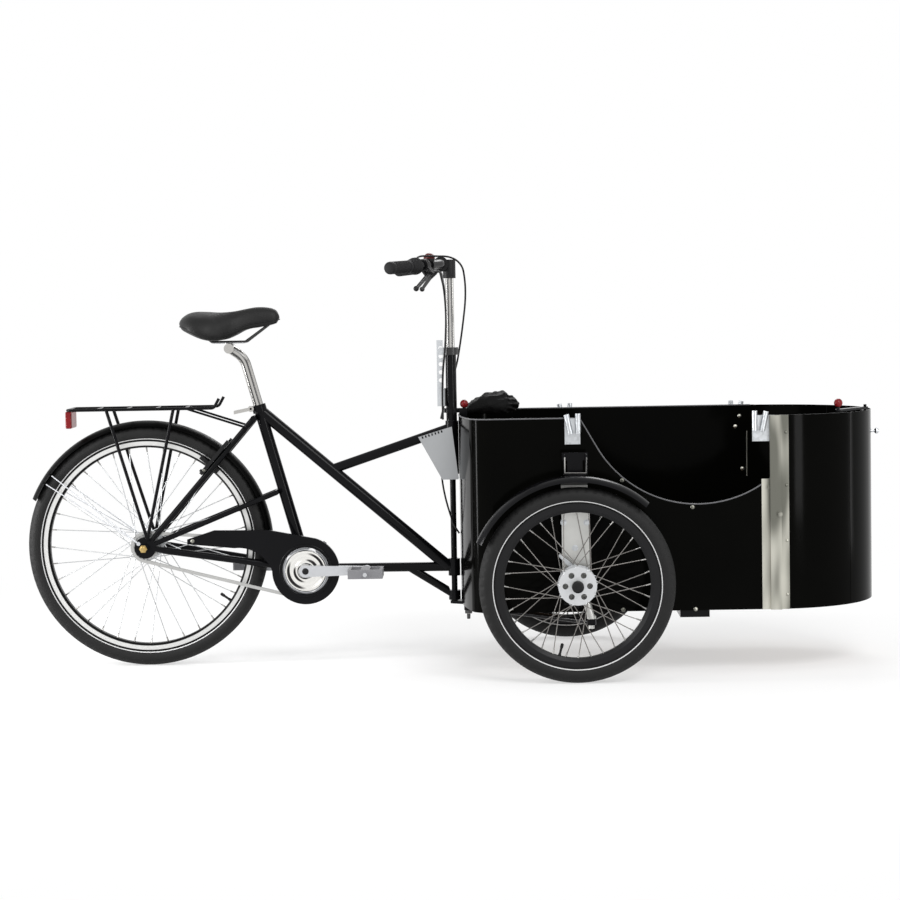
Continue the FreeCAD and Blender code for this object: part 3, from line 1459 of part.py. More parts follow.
def column_bracket():
    """A strap round the column at rim height, bolted to the rear wall, with a knob on it."""
    height = V.latch_thickness * 2
    bottom = V.rim_height + V.latch_thickness
    bore = V.column_diameter / 2 + V.running_gap
    eye = Part.makeCylinder(V.collar_diameter / 2, height, column_point(bottom), UP)
    front = BOX_REAR_X + V.hinge_leaf_width
    half = V.latch_width / 2
    strap = Part.makeBox(front - COLUMN_X, half * 2, height, Vector(COLUMN_X, -half, bottom))
    tongue = Part.makeBox(
        front - BOX_REAR_X - V.sheet_thickness - V.fit_gap, half * 2, V.socket_height,
        Vector(BOX_REAR_X + V.sheet_thickness + V.fit_gap, -half, bottom + height - V.socket_height))
    bolt = Part.makeCylinder(
        V.pull_pin_diameter / 2, V.knob_diameter,
        Vector(front - half, 0, bottom + height), UP)
    knob = Part.makeSphere(
        V.knob_diameter / 2, Vector(front - half, 0, bottom + height + V.knob_diameter / 2))
    room = Part.makeCylinder(bore, height, column_point(bottom), UP)
    return eye.fuse([strap, tongue, bolt, knob]).cut(room)


part("column_bracket", column_bracket())


# Stainless posts over the seams between the shell and the nose

def box_post():
    """A hat section post: web, two returns and two flanges; the rear flange stops at the entry."""
    wall = V.sheet_thickness
    web = V.post_web_width / 2
    face = -V.box_half_width
    out = face - V.post_depth
    low = V.skirt_height
    entry = V.dip_height + V.dip_radius - math.sqrt(
        V.dip_radius ** 2 - (NOSE_X - web - FRONT_AXLE - V.dip_centre_ahead) ** 2)

    def strip(x_low, x_high, y_low, y_high, top):
        return Part.makeBox(
            x_high - x_low, y_high - y_low, top - low, Vector(x_low, y_low, low))

    pieces = [
        strip(NOSE_X - web, NOSE_X + web, out, out + wall, V.rim_height),
        strip(NOSE_X - web, NOSE_X - web + wall, out, face, V.rim_height),
        strip(NOSE_X + web - wall, NOSE_X + web, out, face, V.rim_height),
        strip(NOSE_X - web - V.post_flange_width, NOSE_X - web, face - wall, face, entry),
        strip(NOSE_X + web, NOSE_X + web + V.post_flange_width, face - wall, face, V.rim_height),
    ]
    return pieces[0].fuse(pieces[1:]).removeSplitter()


part("box_posts", both_sides(box_post()))


# Zinc sockets for the bows of a cover

def bow_socket(centre_x, face, side, lean_side):
    """A wall plate with one upright and one leaning tube, both bored from the top."""
    out = V.socket_plate + V.socket_tube_diameter * tube_sink_share
    low = V.rim_height - V.socket_height
    plate = Part.makeBox(
        V.socket_width, V.socket_plate, V.socket_height,
        Vector(centre_x - V.socket_width / 2, min(face, face + side * V.socket_plate), low))
    solid_piece = plate
    bores = []
    length = V.socket_height + V.socket_tube_rise
    upright_share = 0.36
    leaning_share = 0.02
    skip = V.socket_height * tube_skip_share
    for offset_share, lean in ((upright_share, 0), (leaning_share, V.socket_tilt)):
        turn = math.radians(lean) * lean_side
        way = Vector(math.sin(turn), 0, math.cos(turn))
        base = Vector(centre_x - lean_side * V.socket_width * offset_share, face + side * out, low)
        foot = base + way * skip
        tube = Part.makeCylinder(V.socket_tube_diameter / 2, length - skip, foot, way)
        solid_piece = solid_piece.fuse(tube)
        floor = foot + way * ((length - skip) / 3)
        bores.append(Part.makeCylinder(V.socket_bore_diameter / 2, length, floor, way))
    return solid_piece.cut(bores)


def socket_tongue():
    """The strip that ties the right front socket to the nose where the wall is cut away."""
    start = front_socket_x + V.socket_width / 2
    return Part.makeBox(
        NOSE_X - start, V.socket_plate, V.socket_height,
        Vector(start, -V.box_half_width, V.rim_height - V.socket_height))


rear_socket_x = FRONT_AXLE - V.rear_socket_behind
front_socket_x = FRONT_AXLE + V.front_socket_ahead
right_front_socket = bow_socket(front_socket_x, -V.box_half_width + V.socket_plate, RIGHT_SIDE, 1)
part("bow_sockets", Part.makeCompound([
    bow_socket(rear_socket_x, -V.box_half_width, RIGHT_SIDE, -1),
    right_front_socket.fuse(socket_tongue()),
    bow_socket(rear_socket_x, V.box_half_width, LEFT_SIDE, -1),
    bow_socket(front_socket_x, V.box_half_width, LEFT_SIDE, 1),
]))


# Latch lever on the door's rim, with a ball to hold it by

def ball_on(spot, height, neck):
    """A ball on a short neck above a point."""
    stem = Part.makeCylinder(V.pull_pin_diameter / 2, neck, Vector(spot.x, spot.y, height), UP)
    centre = Vector(spot.x, spot.y, height + neck + V.knob_diameter / 3)
    return [stem, Part.makeSphere(V.knob_diameter / 2, centre)]


def latch_lever():
    """A flat bar bored for the door's pin, reaching over the right seam."""
    bottom = V.rim_height + V.latch_thickness / 2
    lever = link_plate(LATCH_PIVOT, LATCH_END, V.latch_width, bottom, V.latch_thickness)
    lever = lever.fuse(ball_on(LATCH_END, bottom + V.latch_thickness / 2, V.latch_thickness * 2))
    bore = Part.makeCylinder(
        V.pull_pin_diameter / 2 + V.running_gap, V.latch_thickness * 2,
        Vector(LATCH_PIVOT.x, LATCH_PIVOT.y, bottom - V.latch_thickness / 2), UP)
    return lever.cut(bore)


part("latch_lever", latch_lever())


# Folded cover lying over the left half of the rear rim

def bundle_section(side, long_share, high_share):
    """One closed section of the folded cover, a soft outline across its length."""
    back = BOX_REAR_X + V.sheet_thickness
    long = V.bundle_length * long_share
    high = V.bundle_height * high_share
    shares = [(0.5, 1.0), (0.8, 0.84), (1.0, 0.42), (0.86, 0.02), (0.45, -0.06), (0.06, 0.02),
              (0.0, 0.22), (0.2, 0.72)]
    points = [Vector(back + long * across, side, V.rim_height + high * up) for across, up in shares]
    curve = Part.BSplineCurve()
    curve.interpolate(points, PeriodicFlag=True)
    return Part.Wire([curve.toShape()])


def cover_bundle():
    """A folded cover, lofted through soft sections and laid flat on the rim."""
    start = V.latch_width * 2
    station_shares = [(0.0, 0.82, 0.7), (0.2, 0.97, 1.0), (0.45, 1.0, 0.88), (0.7, 0.95, 1.0),
                (1.0, 0.85, 0.66)]
    sections = [
        bundle_section(start + V.bundle_width * along, wide, high) for along, wide, high in station_shares]
    below = Part.makeBox(
        V.box_half_width * 2, V.box_half_width * 2, V.rim_height + V.running_gap,
        Vector(BOX_REAR_X - V.box_half_width / 2, -V.box_half_width, 0))
    return Part.makeLoft(sections, True).cut(below)


part("cover_bundle", cover_bundle())


# Handlebar: stem, bent bar, grips, twist shifter, bell and brake levers

stem_head = Vector(COLUMN_X - V.stem_setback, 0, V.stem_head_height)
stem_top = column_point(V.stem_head_height - V.stem_head_drop)


def stem_clamp():
    """The head on top of the quill, bored for the bar."""
    reach = LEFT * (V.stem_clamp_width / 2)
    top = V.stem_head_height + V.bar_diameter / 2
    block = rod(stem_top, column_point(top), V.stem_block_diameter)
    clamp = rod(stem_head - reach, stem_head + reach, V.stem_clamp_diameter)
    bore = rod(stem_head - reach * 2, stem_head + reach * 2, V.bar_diameter)
    return block.fuse(clamp).cut(bore)


part("stem", rod(column_point(V.stem_bottom), stem_top, V.stem_diameter))
part("column_fittings", Part.makeCompound([column_collar(), cable_block()]))

bar_start = stem_head + Vector(0, -V.bar_straight / 2, 0)
bar_end = stem_head + Vector(-V.bar_sweep - V.bar_straight / 8, -V.bar_half_width, -V.bar_rise)
knee_share = 0.5
bar_knee = bar_start + (bar_end - bar_start) * knee_share + AHEAD * V.bar_rise * knee_lift_share
bar_points = [bar_end, bar_knee, bar_start]
bar_points += [Vector(spot.x, -spot.y, spot.z) for spot in reversed(bar_points)]
part("handlebar", bent_rod(bar_points, V.bar_straight / 2, V.bar_diameter))
grip_way = (bar_knee - bar_end).normalize()


def right_grip():
    """A closed grip over the bar's end."""
    end = bar_end - grip_way * V.rim_wall
    outer = rod(end, end + grip_way * V.grip_length, V.grip_diameter)
    swell = Part.makeTorus(
        V.grip_diameter / 2 - V.rim_wall, V.rim_wall * 2, end + grip_way * V.rim_wall * 2, grip_way)
    inner = rod(bar_end, bar_end + grip_way * V.grip_length, V.bar_diameter)
    return outer.fuse(swell).cut(inner)


part("grips", both_sides(right_grip()))


def twist_shifter():
    """A cone that turns on the bar beside the right grip."""
    bore = V.bar_diameter / 2 + V.running_gap
    small = V.grip_diameter / 2
    large = V.shifter_diameter / 2
    length = V.shifter_length
    profile = [
        (bore, 0), (small, 0), (large, length * 2 / 3), (large, length * shifter_flare_share),
        (small, length),
        (bore, length)]
    return turned(profile, bar_end + grip_way * (V.grip_length + V.rim_wall), grip_way)


part("twist_shifter", twist_shifter())

lever_along = -grip_way
lever_reach = (AHEAD - UP * lever_tilt_share)
lever_reach = (lever_reach - lever_along * lever_reach.dot(lever_along)).normalize()
lever_axis = lever_along.cross(lever_reach)
clamp_way = (bar_start - bar_knee).normalize()
clamp_spot = bar_knee + clamp_way * V.lever_clamp_diameter
lever_pivot = clamp_spot + lever_reach * (V.lever_clamp_diameter * pivot_reach_share)


def brake_lever():
    """A slim lever with a barrel on its pivot and a ball at its end."""
    half = lever_axis * V.lever_thickness * lever_barrel_share
    tip = lever_pivot + lever_along * V.lever_length + lever_reach * V.lever_drop
    barrel = rod(lever_pivot - half, lever_pivot + half, V.lever_thickness * lever_lug_share)
    blade = Part.makeCone(
        V.lever_thickness * lever_root_share, V.lever_thickness / 2, (tip - lever_pivot).Length,
        lever_pivot, tip - lever_pivot)
    ball = Part.makeSphere(V.lever_thickness * lever_ball_share, tip)
    bore = rod(lever_pivot - half * 2, lever_pivot + half * 2, V.hinge_pin_diameter + V.running_gap * 2)
    return barrel.fuse([blade, ball]).cut(bore)


def lever_clamp():
    """A ring on the bar with two cheeks and the pin between them."""
    ring_half = clamp_way * (V.lever_clamp_width / 2)
    band = rod(clamp_spot - ring_half, clamp_spot + ring_half, V.lever_clamp_diameter)
    barrel_half = lever_axis * V.lever_thickness * lever_barrel_share
    cheek = lever_axis * V.lever_thickness / 2
    solids = [band]
    inner = barrel_half + lever_axis * V.upright_gap
    for start, end in ((inner, inner + cheek), (-inner, -inner - cheek)):
        lug = rod(lever_pivot + start, lever_pivot + end, V.lever_thickness * lever_lug_share)
        arm_start = clamp_spot + start
        corner = lever_along * (V.lever_clamp_width / 2 - V.rim_wall)
        hinge_start = lever_pivot + start
        corners = [
            arm_start - corner, arm_start + corner, hinge_start + corner, hinge_start - corner]
        web = Part.Face(Part.makePolygon(corners + corners[:1])).extrude(end - start)
        solids += [lug, web]
    pin = rod(
        lever_pivot - inner - cheek, lever_pivot + inner + cheek, V.hinge_pin_diameter)
    bar_room = rod(clamp_spot - ring_half * 3, clamp_spot + ring_half * 3, V.bar_diameter)
    return solids[0].fuse(solids[1:] + [pin]).cut(bar_room)


def bell():
    """A small bell on a strap above the bar."""
    spot = bar_start + (bar_knee - bar_start) * knee_share
    way = (bar_knee - bar_start).normalize()
    half = way * (V.lever_clamp_width / 4)
    strap = rod(spot - half, spot + half, V.bar_diameter + V.tyre_wall * 2)
    foot = rod(spot, spot + UP * V.bell_diameter * bell_foot_share, V.pull_pin_diameter)
    room = rod(spot - half * 6, spot + half * 6, V.bar_diameter)
    base = spot + UP * V.bell_diameter * bell_base_share
    dome = Part.makeSphere(V.bell_diameter / 2, base)
    return strap.fuse([foot, dome]).cut(room)


right_lever = brake_lever()
right_clamp = lever_clamp()
part("brake_lever_right", right_lever)
part("brake_lever_left", mirrored(right_lever))
part("bar_clamps", Part.makeCompound([right_clamp, mirrored(right_clamp), bell(), stem_clamp()]))


# Cables: on the handlebar down to the guard, and from the guard along the frame

def by_column(behind, side, height):
    """A point near the steering axis."""
    return Vector(COLUMN_X - behind, side, height)


def front_cables():
    """Two brake cables and the shifter's cable, gathered behind the column."""
    cheek_end = V.lever_thickness * cheek_end_share + V.upright_gap
    lever_start = lever_pivot + grip_way * cheek_end + lever_axis * V.lever_thickness
    right = [
        lever_start, lever_start + clamp_way * V.lever_clamp_width * 2, by_column(14, -34, 1006),
        by_column(10, -27, 935), by_column(14, -26, 850), by_column(22, -22, 788),
        by_column(24, -17, 718), by_column(24, -15, 656)]
    left = [Vector(spot.x, -spot.y, spot.z) for spot in right]
    shifter_end = bar_end + grip_way * (V.grip_length + V.shifter_length + V.rim_wall)
    above = (UP - lever_reach).normalize()
    shifter_start = shifter_end + above * (V.bar_diameter / 2 + V.cable_diameter)
    lead = grip_way * V.lever_clamp_width * cable_lead_share
    shifter = [
        shifter_start, shifter_start + lead + above * V.cable_diameter * 2,
        by_column(-34, -100, 1092), by_column(-46, -20, 1000), by_column(-30, 4, 880),
        by_column(-14, 27, 792), by_column(14, 32, 722), by_column(30, 28, 656)]
    return Part.makeCompound([cable(route, V.cable_diameter) for route in (right, left, shifter)])


def frame_cables():
    """The same cables below the guard: one into the box, one along the upper tube."""
    to_box = [
        by_column(24, -15, 622), by_column(31, -16, 560), by_column(29, -17, 490), by_column(19, -18, 436),
        by_column(0, -20, 372), Vector(BOX_REAR_X - V.cable_diameter / 2, -22, 348)]
    along_tube = [
        by_column(26, 17, 606), by_column(77, 17, 597), by_column(180, 17, 570), by_column(262, 17, 545),
        by_column(320, 9, 522)]
    inside = [
        rod(down_start, down_end, V.down_tube_diameter + V.running_gap),
        rod(upper_start, upper_end, V.upper_tube_diameter + V.running_gap)]
    return Part.makeCompound([cable(route, V.cable_diameter).cut(inside) for route in (to_box, along_tube)])


part("front_cables", front_cables())
part("frame_cables", frame_cables())


# Drive: cranks, chainring, chain, sprocket, pedals and the guard

def pitch_radius(teeth):
    """Pitch circle of a chain wheel."""
    return V.chain_pitch / 2 / math.sin(math.pi / teeth)


def chain_wheel(teeth, bore, centre):
    """A toothed plate on the chain line with a round bore."""
    tip = pitch_radius(teeth) - V.roller_diameter / 2 - V.upright_gap
    root = tip - V.roller_diameter / 2
    points = []
    root_share = 0.5
    tip_share = 0.18
    for tooth in range(int(teeth)):
        for share, radius in ((-root_share, root), (-tip_share, tip), (tip_share, tip)):
            angle = 2 * math.pi * (tooth + share) / teeth
            points.append(Vector(radius * math.cos(angle), 0, radius * math.sin(angle)))
    plate = Part.Face(Part.makePolygon(points + points[:1])).extrude(LEFT * V.tooth_thickness)
    hole = Part.makeCylinder(bore, V.tooth_thickness, Vector(0, 0, 0), LEFT)
    start = Vector(0, -V.chain_line - V.tooth_thickness / 2, 0)
    return plate.cut(hole).translated(centre + start)


sprocket_bore = V.rear_barrel_radius * 2 / 3 + V.running_gap
crank_boss = V.crank_boss_diameter / 2
chainring_shape = chain_wheel(V.chainring_teeth, crank_boss, bracket_centre)
lightening_share = 0.62
for number in range(5):
    turn = 2 * math.pi * number / 5
    reach = pitch_radius(V.chainring_teeth) * lightening_share
    spot = bracket_centre + Vector(reach * math.cos(turn), -V.chain_line * 2, reach * math.sin(turn))
    chainring_shape = chainring_shape.cut(
        Part.makeCylinder(crank_boss * ring_bore_share, V.chain_line * 2, spot, LEFT))
part("chainring", chainring_shape)
part("sprocket", chain_wheel(V.sprocket_teeth, sprocket_bore, rear_centre))


def chain_loop(inset):
    """The plan of the chain: two tangent runs joined by arcs round the two wheels."""
    large = pitch_radius(V.chainring_teeth) + inset
    small = pitch_radius(V.sprocket_teeth) + inset
    ahead = bracket_centre - rear_centre
    distance = ahead.Length
    lean = math.atan2(ahead.z, ahead.x)
    spread = math.acos((pitch_radius(V.chainring_teeth) - pitch_radius(V.sprocket_teeth)) / distance)

    def spot(centre, radius, angle):
        return Vector(centre.x + radius * math.cos(angle), 0, centre.z + radius * math.sin(angle))

    up = lean + math.pi - spread
    down = lean + math.pi + spread
    return [
        Part.Arc(
            spot(bracket_centre, large, down), spot(bracket_centre, large, lean),
            spot(bracket_centre, large, up)),
        Part.LineSegment(spot(bracket_centre, large, up), spot(rear_centre, small, up)),
        Part.Arc(
            spot(rear_centre, small, up), spot(rear_centre, small, lean + math.pi),
            spot(rear_centre, small, down)),
        Part.LineSegment(spot(rear_centre, small, down), spot(bracket_centre, large, down)),
    ]


def chain():
    """Two loops of side plates joined by rollers at every pitch."""
    half = V.chain_plate_height / 2
    outer = Part.Face(Part.Wire([curve.toShape() for curve in chain_loop(half)]))
    inner = Part.Face(Part.Wire([curve.toShape() for curve in chain_loop(-half)]))
    band = outer.cut(inner)
    gap = V.chain_inner_width / 2
    solids = [
        band.extrude(LEFT * V.chain_plate).translated(LEFT * (gap - V.chain_line)),
        band.extrude(LEFT * V.chain_plate).translated(LEFT * (-gap - V.chain_plate - V.chain_line))]
    path = Part.Wire([curve.toShape() for curve in chain_loop(0)])
    links = 2 * round(path.Length / V.chain_pitch / 2)
    for spot in path.discretize(Number=links + 1)[:-1]:
        start = spot - LEFT * (V.chain_line + gap)
        solids.append(Part.makeCylinder(V.roller_diameter / 2, gap * 2, start, LEFT))
    return Part.makeCompound(solids)


part("chain", chain())


def crank_arm(side):
    """One arm from the spindle to the pedal, with the pedal's axle."""
    inner = V.crank_half_width - V.crank_thickness
    forward = -side
    eye = bracket_centre + AHEAD * forward * V.crank_length
    face = LEFT * side * inner
    depth = LEFT * side * V.crank_thickness
    solids = [
        rod(bracket_centre + face, bracket_centre + face + depth, V.crank_boss_diameter),
        rod(eye + face, eye + face + depth, V.crank_eye_diameter)]
    boss = UP * (V.crank_boss_diameter * arm_root_share)
    small = UP * (V.crank_eye_diameter * arm_tip_share)
    corners = [bracket_centre + boss, eye + small, eye - small, bracket_centre - boss]
    corners = [corner + face for corner in corners]
    solids.append(Part.Face(Part.makePolygon(corners + corners[:1])).extrude(depth))
    axle_end = eye + LEFT * side * (V.crank_half_width + V.pedal_offset + V.pedal_length)
    solids.append(rod(eye + face, axle_end, V.pedal_axle_diameter))
    return solids


def crank_arms():
    """Spindle, two opposite arms and the bright disc outside the chainring."""
    inner = LEFT * (V.crank_half_width - V.crank_thickness)
    spindle = rod(bracket_centre - inner, bracket_centre + inner, V.spindle_diameter)
    boss_start = bracket_centre - LEFT * (V.chain_line - V.tooth_thickness)
    boss = rod(boss_start, bracket_centre - inner, V.crank_boss_diameter)
    disc_face = bracket_centre - inner + LEFT * V.crank_disc_thickness
    disc = rod(disc_face, bracket_centre - inner, V.crank_disc_diameter)
    arms = crank_arm(RIGHT_SIDE) + crank_arm(LEFT_SIDE)
    return spindle.fuse([boss, disc] + arms)


part("crank_arms", crank_arms())


def right_pedal():
    """An open cage round a bored barrel."""
    inner = V.crank_half_width + V.pedal_offset / 2
    length = V.pedal_length - V.pedal_offset
    eye = bracket_centre + AHEAD * V.crank_length
    half = V.pedal_width / 2
    wall = V.pedal_offset
    low = eye + Vector(-half, -inner - length, -V.pedal_thickness / 2)
    body = Part.makeBox(V.pedal_width, length, V.pedal_thickness, low)
    barrel = Part.makeCylinder(V.pedal_thickness / 2, length, eye - LEFT * (inner + length), LEFT)
    window = (V.pedal_width - V.pedal_thickness - wall * 2) / 2
    windows = [
        Part.makeBox(window, length - wall * 2, V.pedal_thickness, Vector(x, low.y + wall, low.z))
        for x in (low.x + wall, low.x + V.pedal_width - wall - window)]
    bore = Part.makeCylinder(
        V.pedal_axle_diameter / 2 + V.running_gap, length * 2,
        eye - LEFT * (inner + length * bore_lead_share), LEFT)
    return body.cut(windows).fuse(barrel).cut(bore)


right_pedal_shape = right_pedal()
part("pedal_right", right_pedal_shape)
part("pedal_left", mirrored(right_pedal_shape).translated(-AHEAD * 2 * V.crank_length))


def guard_outline():
    """The outline of the chain guard: a disc with a long tail over the upper run."""
    radius = V.guard_disc_radius
    tail = V.bracket_ahead_of_rear_axle * guard_tail_share

    def spot(across, up):
        return Vector(bracket_centre.x + across, 0, bracket_centre.z + up)

    tip_low = spot(-tail, radius * tip_low_share)
    tip_high = spot(-tail, radius * tip_high_share)
    ridge = spot(-tail * ridge_back_share, radius * ridge_high_share)
    crest = spot(-tail * crest_back_share, radius * crest_high_share)
    shoulder = spot(radius * shoulder_share, math.sqrt(1 - shoulder_share ** 2) * radius)
    front = spot(radius, 0)
    bottom = spot(0, -radius)
    back = spot(-radius, 0)
    inner = spot(-tail * inner_back_share, radius * inner_high_share)
    waist = spot(-tail * waist_back_share, radius / 2)
    return [
        Part.LineSegment(tip_low, tip_high), Part.LineSegment(tip_high, ridge),
        Part.LineSegment(ridge, crest), Part.LineSegment(crest, shoulder),
        Part.Arc(shoulder, front, bottom), Part.Arc(
            bottom, spot(-radius * math.sqrt(1 / 2), -radius * math.sqrt(1 / 2)), back),
        Part.Arc(back, waist, inner), Part.LineSegment(inner, tip_low),
    ]


def chain_guard():
    """A flat guard with an opening round the cranks, held on three posts from the bracket."""
    plate = Part.Face(Part.Wire([curve.toShape() for curve in guard_outline()]))
    inner_face = V.chain_line + V.guard_gap
    plate = plate.extrude(-LEFT * V.guard_thickness).translated(-LEFT * inner_face)
    opening = Part.makeCylinder(
        V.crank_disc_diameter / 2 + V.guard_gap, V.chain_line * 2,
        bracket_centre - LEFT * V.chain_line * 2, LEFT)
    shell_end = V.bracket_shell_width / 2
    post_reach = V.guard_disc_radius - V.guard_gap
    thin = V.tube_wall
    solids = [plate.cut(opening)]
    hub = Part.makeCylinder(V.bracket_shell_diameter / 2, thin, bracket_centre - LEFT * shell_end, -LEFT)
    hub_hole = Part.makeCylinder(V.crank_boss_diameter / 2, thin, bracket_centre - LEFT * shell_end, -LEFT)
    spider = [hub]
    for angle in (-55, 0, 55):
        turn = math.radians(angle)
        way = Vector(math.cos(turn), 0, math.sin(turn))
        side = Vector(-way.z, 0, way.x) * V.guard_gap
        start = bracket_centre - LEFT * shell_end
        end = start + way * (post_reach + V.guard_gap)
        corners = [start + side, end + side, end - side, start - side]
        spider.append(Part.Face(Part.makePolygon(corners + corners[:1])).extrude(-LEFT * thin))
        post = start + way * post_reach
        spider.append(Part.makeCylinder(
            V.guard_gap / 2, inner_face - shell_end, post, -LEFT))
    stay_room = rod(
        bracket_centre - LEFT * V.chain_stay_offset, rear_centre - LEFT * dropout_middle,
        V.chain_stay_diameter + V.rim_wall)
    solids.append(spider[0].fuse(spider[1:]).cut([hub_hole, stay_room]))
    return Part.makeCompound(solids)


part("chain_guard", chain_guard())


# Saddle on its post

post_bottom = seat_top - seat_way * V.post_insertion
post_bend = seat_top + seat_way * V.post_reach
post_head = post_bend + Vector(-V.post_setback, 0, V.post_setback_rise)


def seat_post():
    """A post in line with the seat tube, bent back at its head."""
    tube = bent_rod([post_bottom, post_bend, post_head], V.post_bend_radius, V.seat_post_diameter)
    reach = LEFT * (V.saddle_rail_spread / 2 + V.saddle_rail_diameter)
    clamp = rod(post_head - reach, post_head + reach, V.seat_post_diameter)
    return tube.fuse(clamp)


part("seat_post", seat_post())


RAIL_HEIGHT = post_head.z + (V.seat_post_diameter + V.saddle_rail_diameter) / 2
SADDLE_TOP = post_head.z + V.saddle_rise
saddle_rear = post_head.x - V.saddle_behind_clamp


def saddle_frame():
    """Two bent rails that rest on the post's clamp and run up to the saddle's ends."""
    half = V.saddle_rail_spread / 2
    rise = SADDLE_TOP - V.saddle_depth / 2 - RAIL_HEIGHT
    nose = saddle_rear + V.saddle_length
    points = [
        Vector(
            saddle_rear + V.saddle_length * rail_tail_share, -half * rail_spread_share,
            RAIL_HEIGHT + rise),
        Vector(post_head.x - half * 2, -half, RAIL_HEIGHT),
        Vector(post_head.x + half * 2, -half, RAIL_HEIGHT),
        Vector(nose - V.saddle_length * rail_nose_share, -half * rail_close_share, RAIL_HEIGHT + rise),
    ]
    return both_sides(bent_rod(points, half / 2, V.saddle_rail_diameter))


def saddle_section(along, half, low, high):
    """One section across the saddle: flat below, arched above."""
    x = saddle_rear + V.saddle_length * along
    shares = [(0.0, 1.0), (0.72, 0.8), (1.0, 0.35), (0.9, 0.0), (0.0, 0.12), (-0.9, 0.0), (-1.0, 0.35),
              (-0.72, 0.8)]
    base = SADDLE_TOP - V.saddle_depth * (1 - low)
    rise = V.saddle_depth * (high - low)
    points = [Vector(x, V.saddle_width / 2 * half * across, base + rise * up) for across, up in shares]
    curve = Part.BSplineCurve()
    curve.interpolate(points, PeriodicFlag=True)
    return Part.Wire([curve.toShape()])


def saddle():
    """The padded saddle, lofted from its wide tail to its raised nose."""
    station_shares = [
        (0.0, 0.5, 0.3, 0.72), (0.1, 0.92, 0.12, 0.95), (0.28, 1.0, 0.12, 1.0), (0.48, 0.7, 0.3, 0.86),
        (0.68, 0.38, 0.4, 0.82), (0.88, 0.27, 0.42, 0.9), (1.0, 0.17, 0.52, 0.84)]
    solid = Part.makeLoft([saddle_section(*station) for station in station_shares], True)
    return solid.cut(saddle_frame().Solids)


part("saddle_frame", saddle_frame())
part("saddle", saddle())


# Carrier over the rear wheel, with its legs, and the reflector below its end

def rear_carrier():
    """A bent platform hoop, cross bars, two pairs of legs and two stays to the frame."""
    half = V.carrier_width / 2
    back = REAR_AXLE - V.carrier_behind_axle
    front = back + V.carrier_length
    level = V.carrier_height - V.carrier_rod_diameter / 2
    hook = V.carrier_rod_diameter * 2
    right_rail = [
        Vector(front + hook * hook_back_share, -half, level + hook * hook_rise_share),
        Vector(front, -half, level),
        Vector(back, -half, level)]
    hoop = right_rail + [Vector(spot.x, -spot.y, spot.z) for spot in reversed(right_rail)]
    solids = [bent_rod(hoop, V.carrier_rod_diameter * hoop_bend_share, V.carrier_rod_diameter)]
    bars = 5
    for number in range(1, bars):
        spot = Vector(back + V.carrier_length * number / bars, 0, level)
        solids.append(rod(spot - LEFT * half, spot + LEFT * half, V.carrier_rod_diameter * cross_bar_share))
    front_bar = back + V.carrier_length * (bars - 1) / bars
    outside = V.dropout_half_spread + V.dropout_thickness + V.carrier_leg_diameter * leg_stand_share
    foot = Vector(REAR_AXLE + V.dropout_radius / 4, -outside, REAR_RADIUS + V.dropout_radius * leg_foot_share)
    middle = REAR_AXLE - V.carrier_leg_spread * leg_shift_share
    legs = []
    for end in (-1, 1):
        top = Vector(middle + end * V.carrier_leg_spread / 2, -half, level)
        legs.append(rod(foot, top, V.carrier_leg_diameter))
    legs.append(Part.makeSphere(V.carrier_leg_diameter / 2, foot))
    stay_side = V.stay_half_spread + V.seat_stay_diameter / 2 + V.carrier_rod_diameter
    stay_top = Vector(front_bar, -stay_side, level)
    stay_foot = Vector(
        seat_top.x - V.seat_stay_diameter * stay_back_share, -stay_side,
        level - V.carrier_rod_diameter * stay_drop_share)
    legs.append(rod(stay_top, stay_foot, V.carrier_rod_diameter * stay_rod_share))
    for leg in legs:
        solids += [leg, mirrored(leg)]
    return solids[0].fuse(solids[1:])


part("rear_carrier", rear_carrier())


def tail_reflector():
    """A reflector block hung below the carrier's rear bar, with a strap over its top."""
    back = REAR_AXLE - V.carrier_behind_axle
    top = V.carrier_height - V.carrier_rod_diameter - V.fit_gap
    half = V.reflector_width / 2
    body = Part.makeBox(
        V.reflector_depth, V.reflector_width, V.reflector_height,
        Vector(back - V.reflector_depth / 2, -half, top - V.reflector_height))
    return body.makeFillet(V.rim_wall * 2, body.Edges)


part("tail_reflector", tail_reflector())


# Guard over the head tube

def head_guard():
    """Two side plates joined by a toothed web along their upper edge."""
    half = V.guard_half_width
    rear = COLUMN_X - V.guard_back
    fold = V.guard_top - V.guard_back * guard_fold_share
    outline = [
        (rear, fold), (COLUMN_X, V.guard_top), (COLUMN_X + half * guard_lip_share, V.guard_bottom),
        (COLUMN_X - half * guard_foot_share, V.guard_bottom)]
    plate = upright_plate(outline, -half, V.guard_sheet)
    start = Vector(rear, -half, fold)
    way = Vector(COLUMN_X, -half, V.guard_top) - start
    length = way.Length
    way.normalize()
    web_length = length - V.head_tube_diameter / 2 - V.rim_wall * 2
    down = Vector(way.z, 0, -way.x)
    corners = [start, start + way * web_length]
    corners += [corner + down * V.guard_sheet for corner in reversed(corners)]
    web = Part.Face(Part.makePolygon(corners + corners[:1])).extrude(LEFT * half * 2)
    count = int(web_length / V.guard_tooth_pitch) - 1
    slots = []
    for number in range(count):
        spot = start + way * V.guard_tooth_pitch * (number + 1) - down * V.guard_sheet
        corners = [spot, spot + way * (V.guard_tooth_pitch - V.guard_tooth_width)]
        corners += [corner + down * V.guard_tooth_depth for corner in reversed(corners)]
        slots.append(Part.Face(Part.makePolygon(corners + corners[:1])).extrude(LEFT * V.guard_sheet * 3))
    tube_room = rod(upper_start, upper_end, V.upper_tube_diameter + V.upright_gap * 2)
    guard = plate.fuse([mirrored(plate), web])
    return guard.cut(slots + [mirrored(slot) for slot in slots] + [tube_room])


part("head_guard", head_guard())


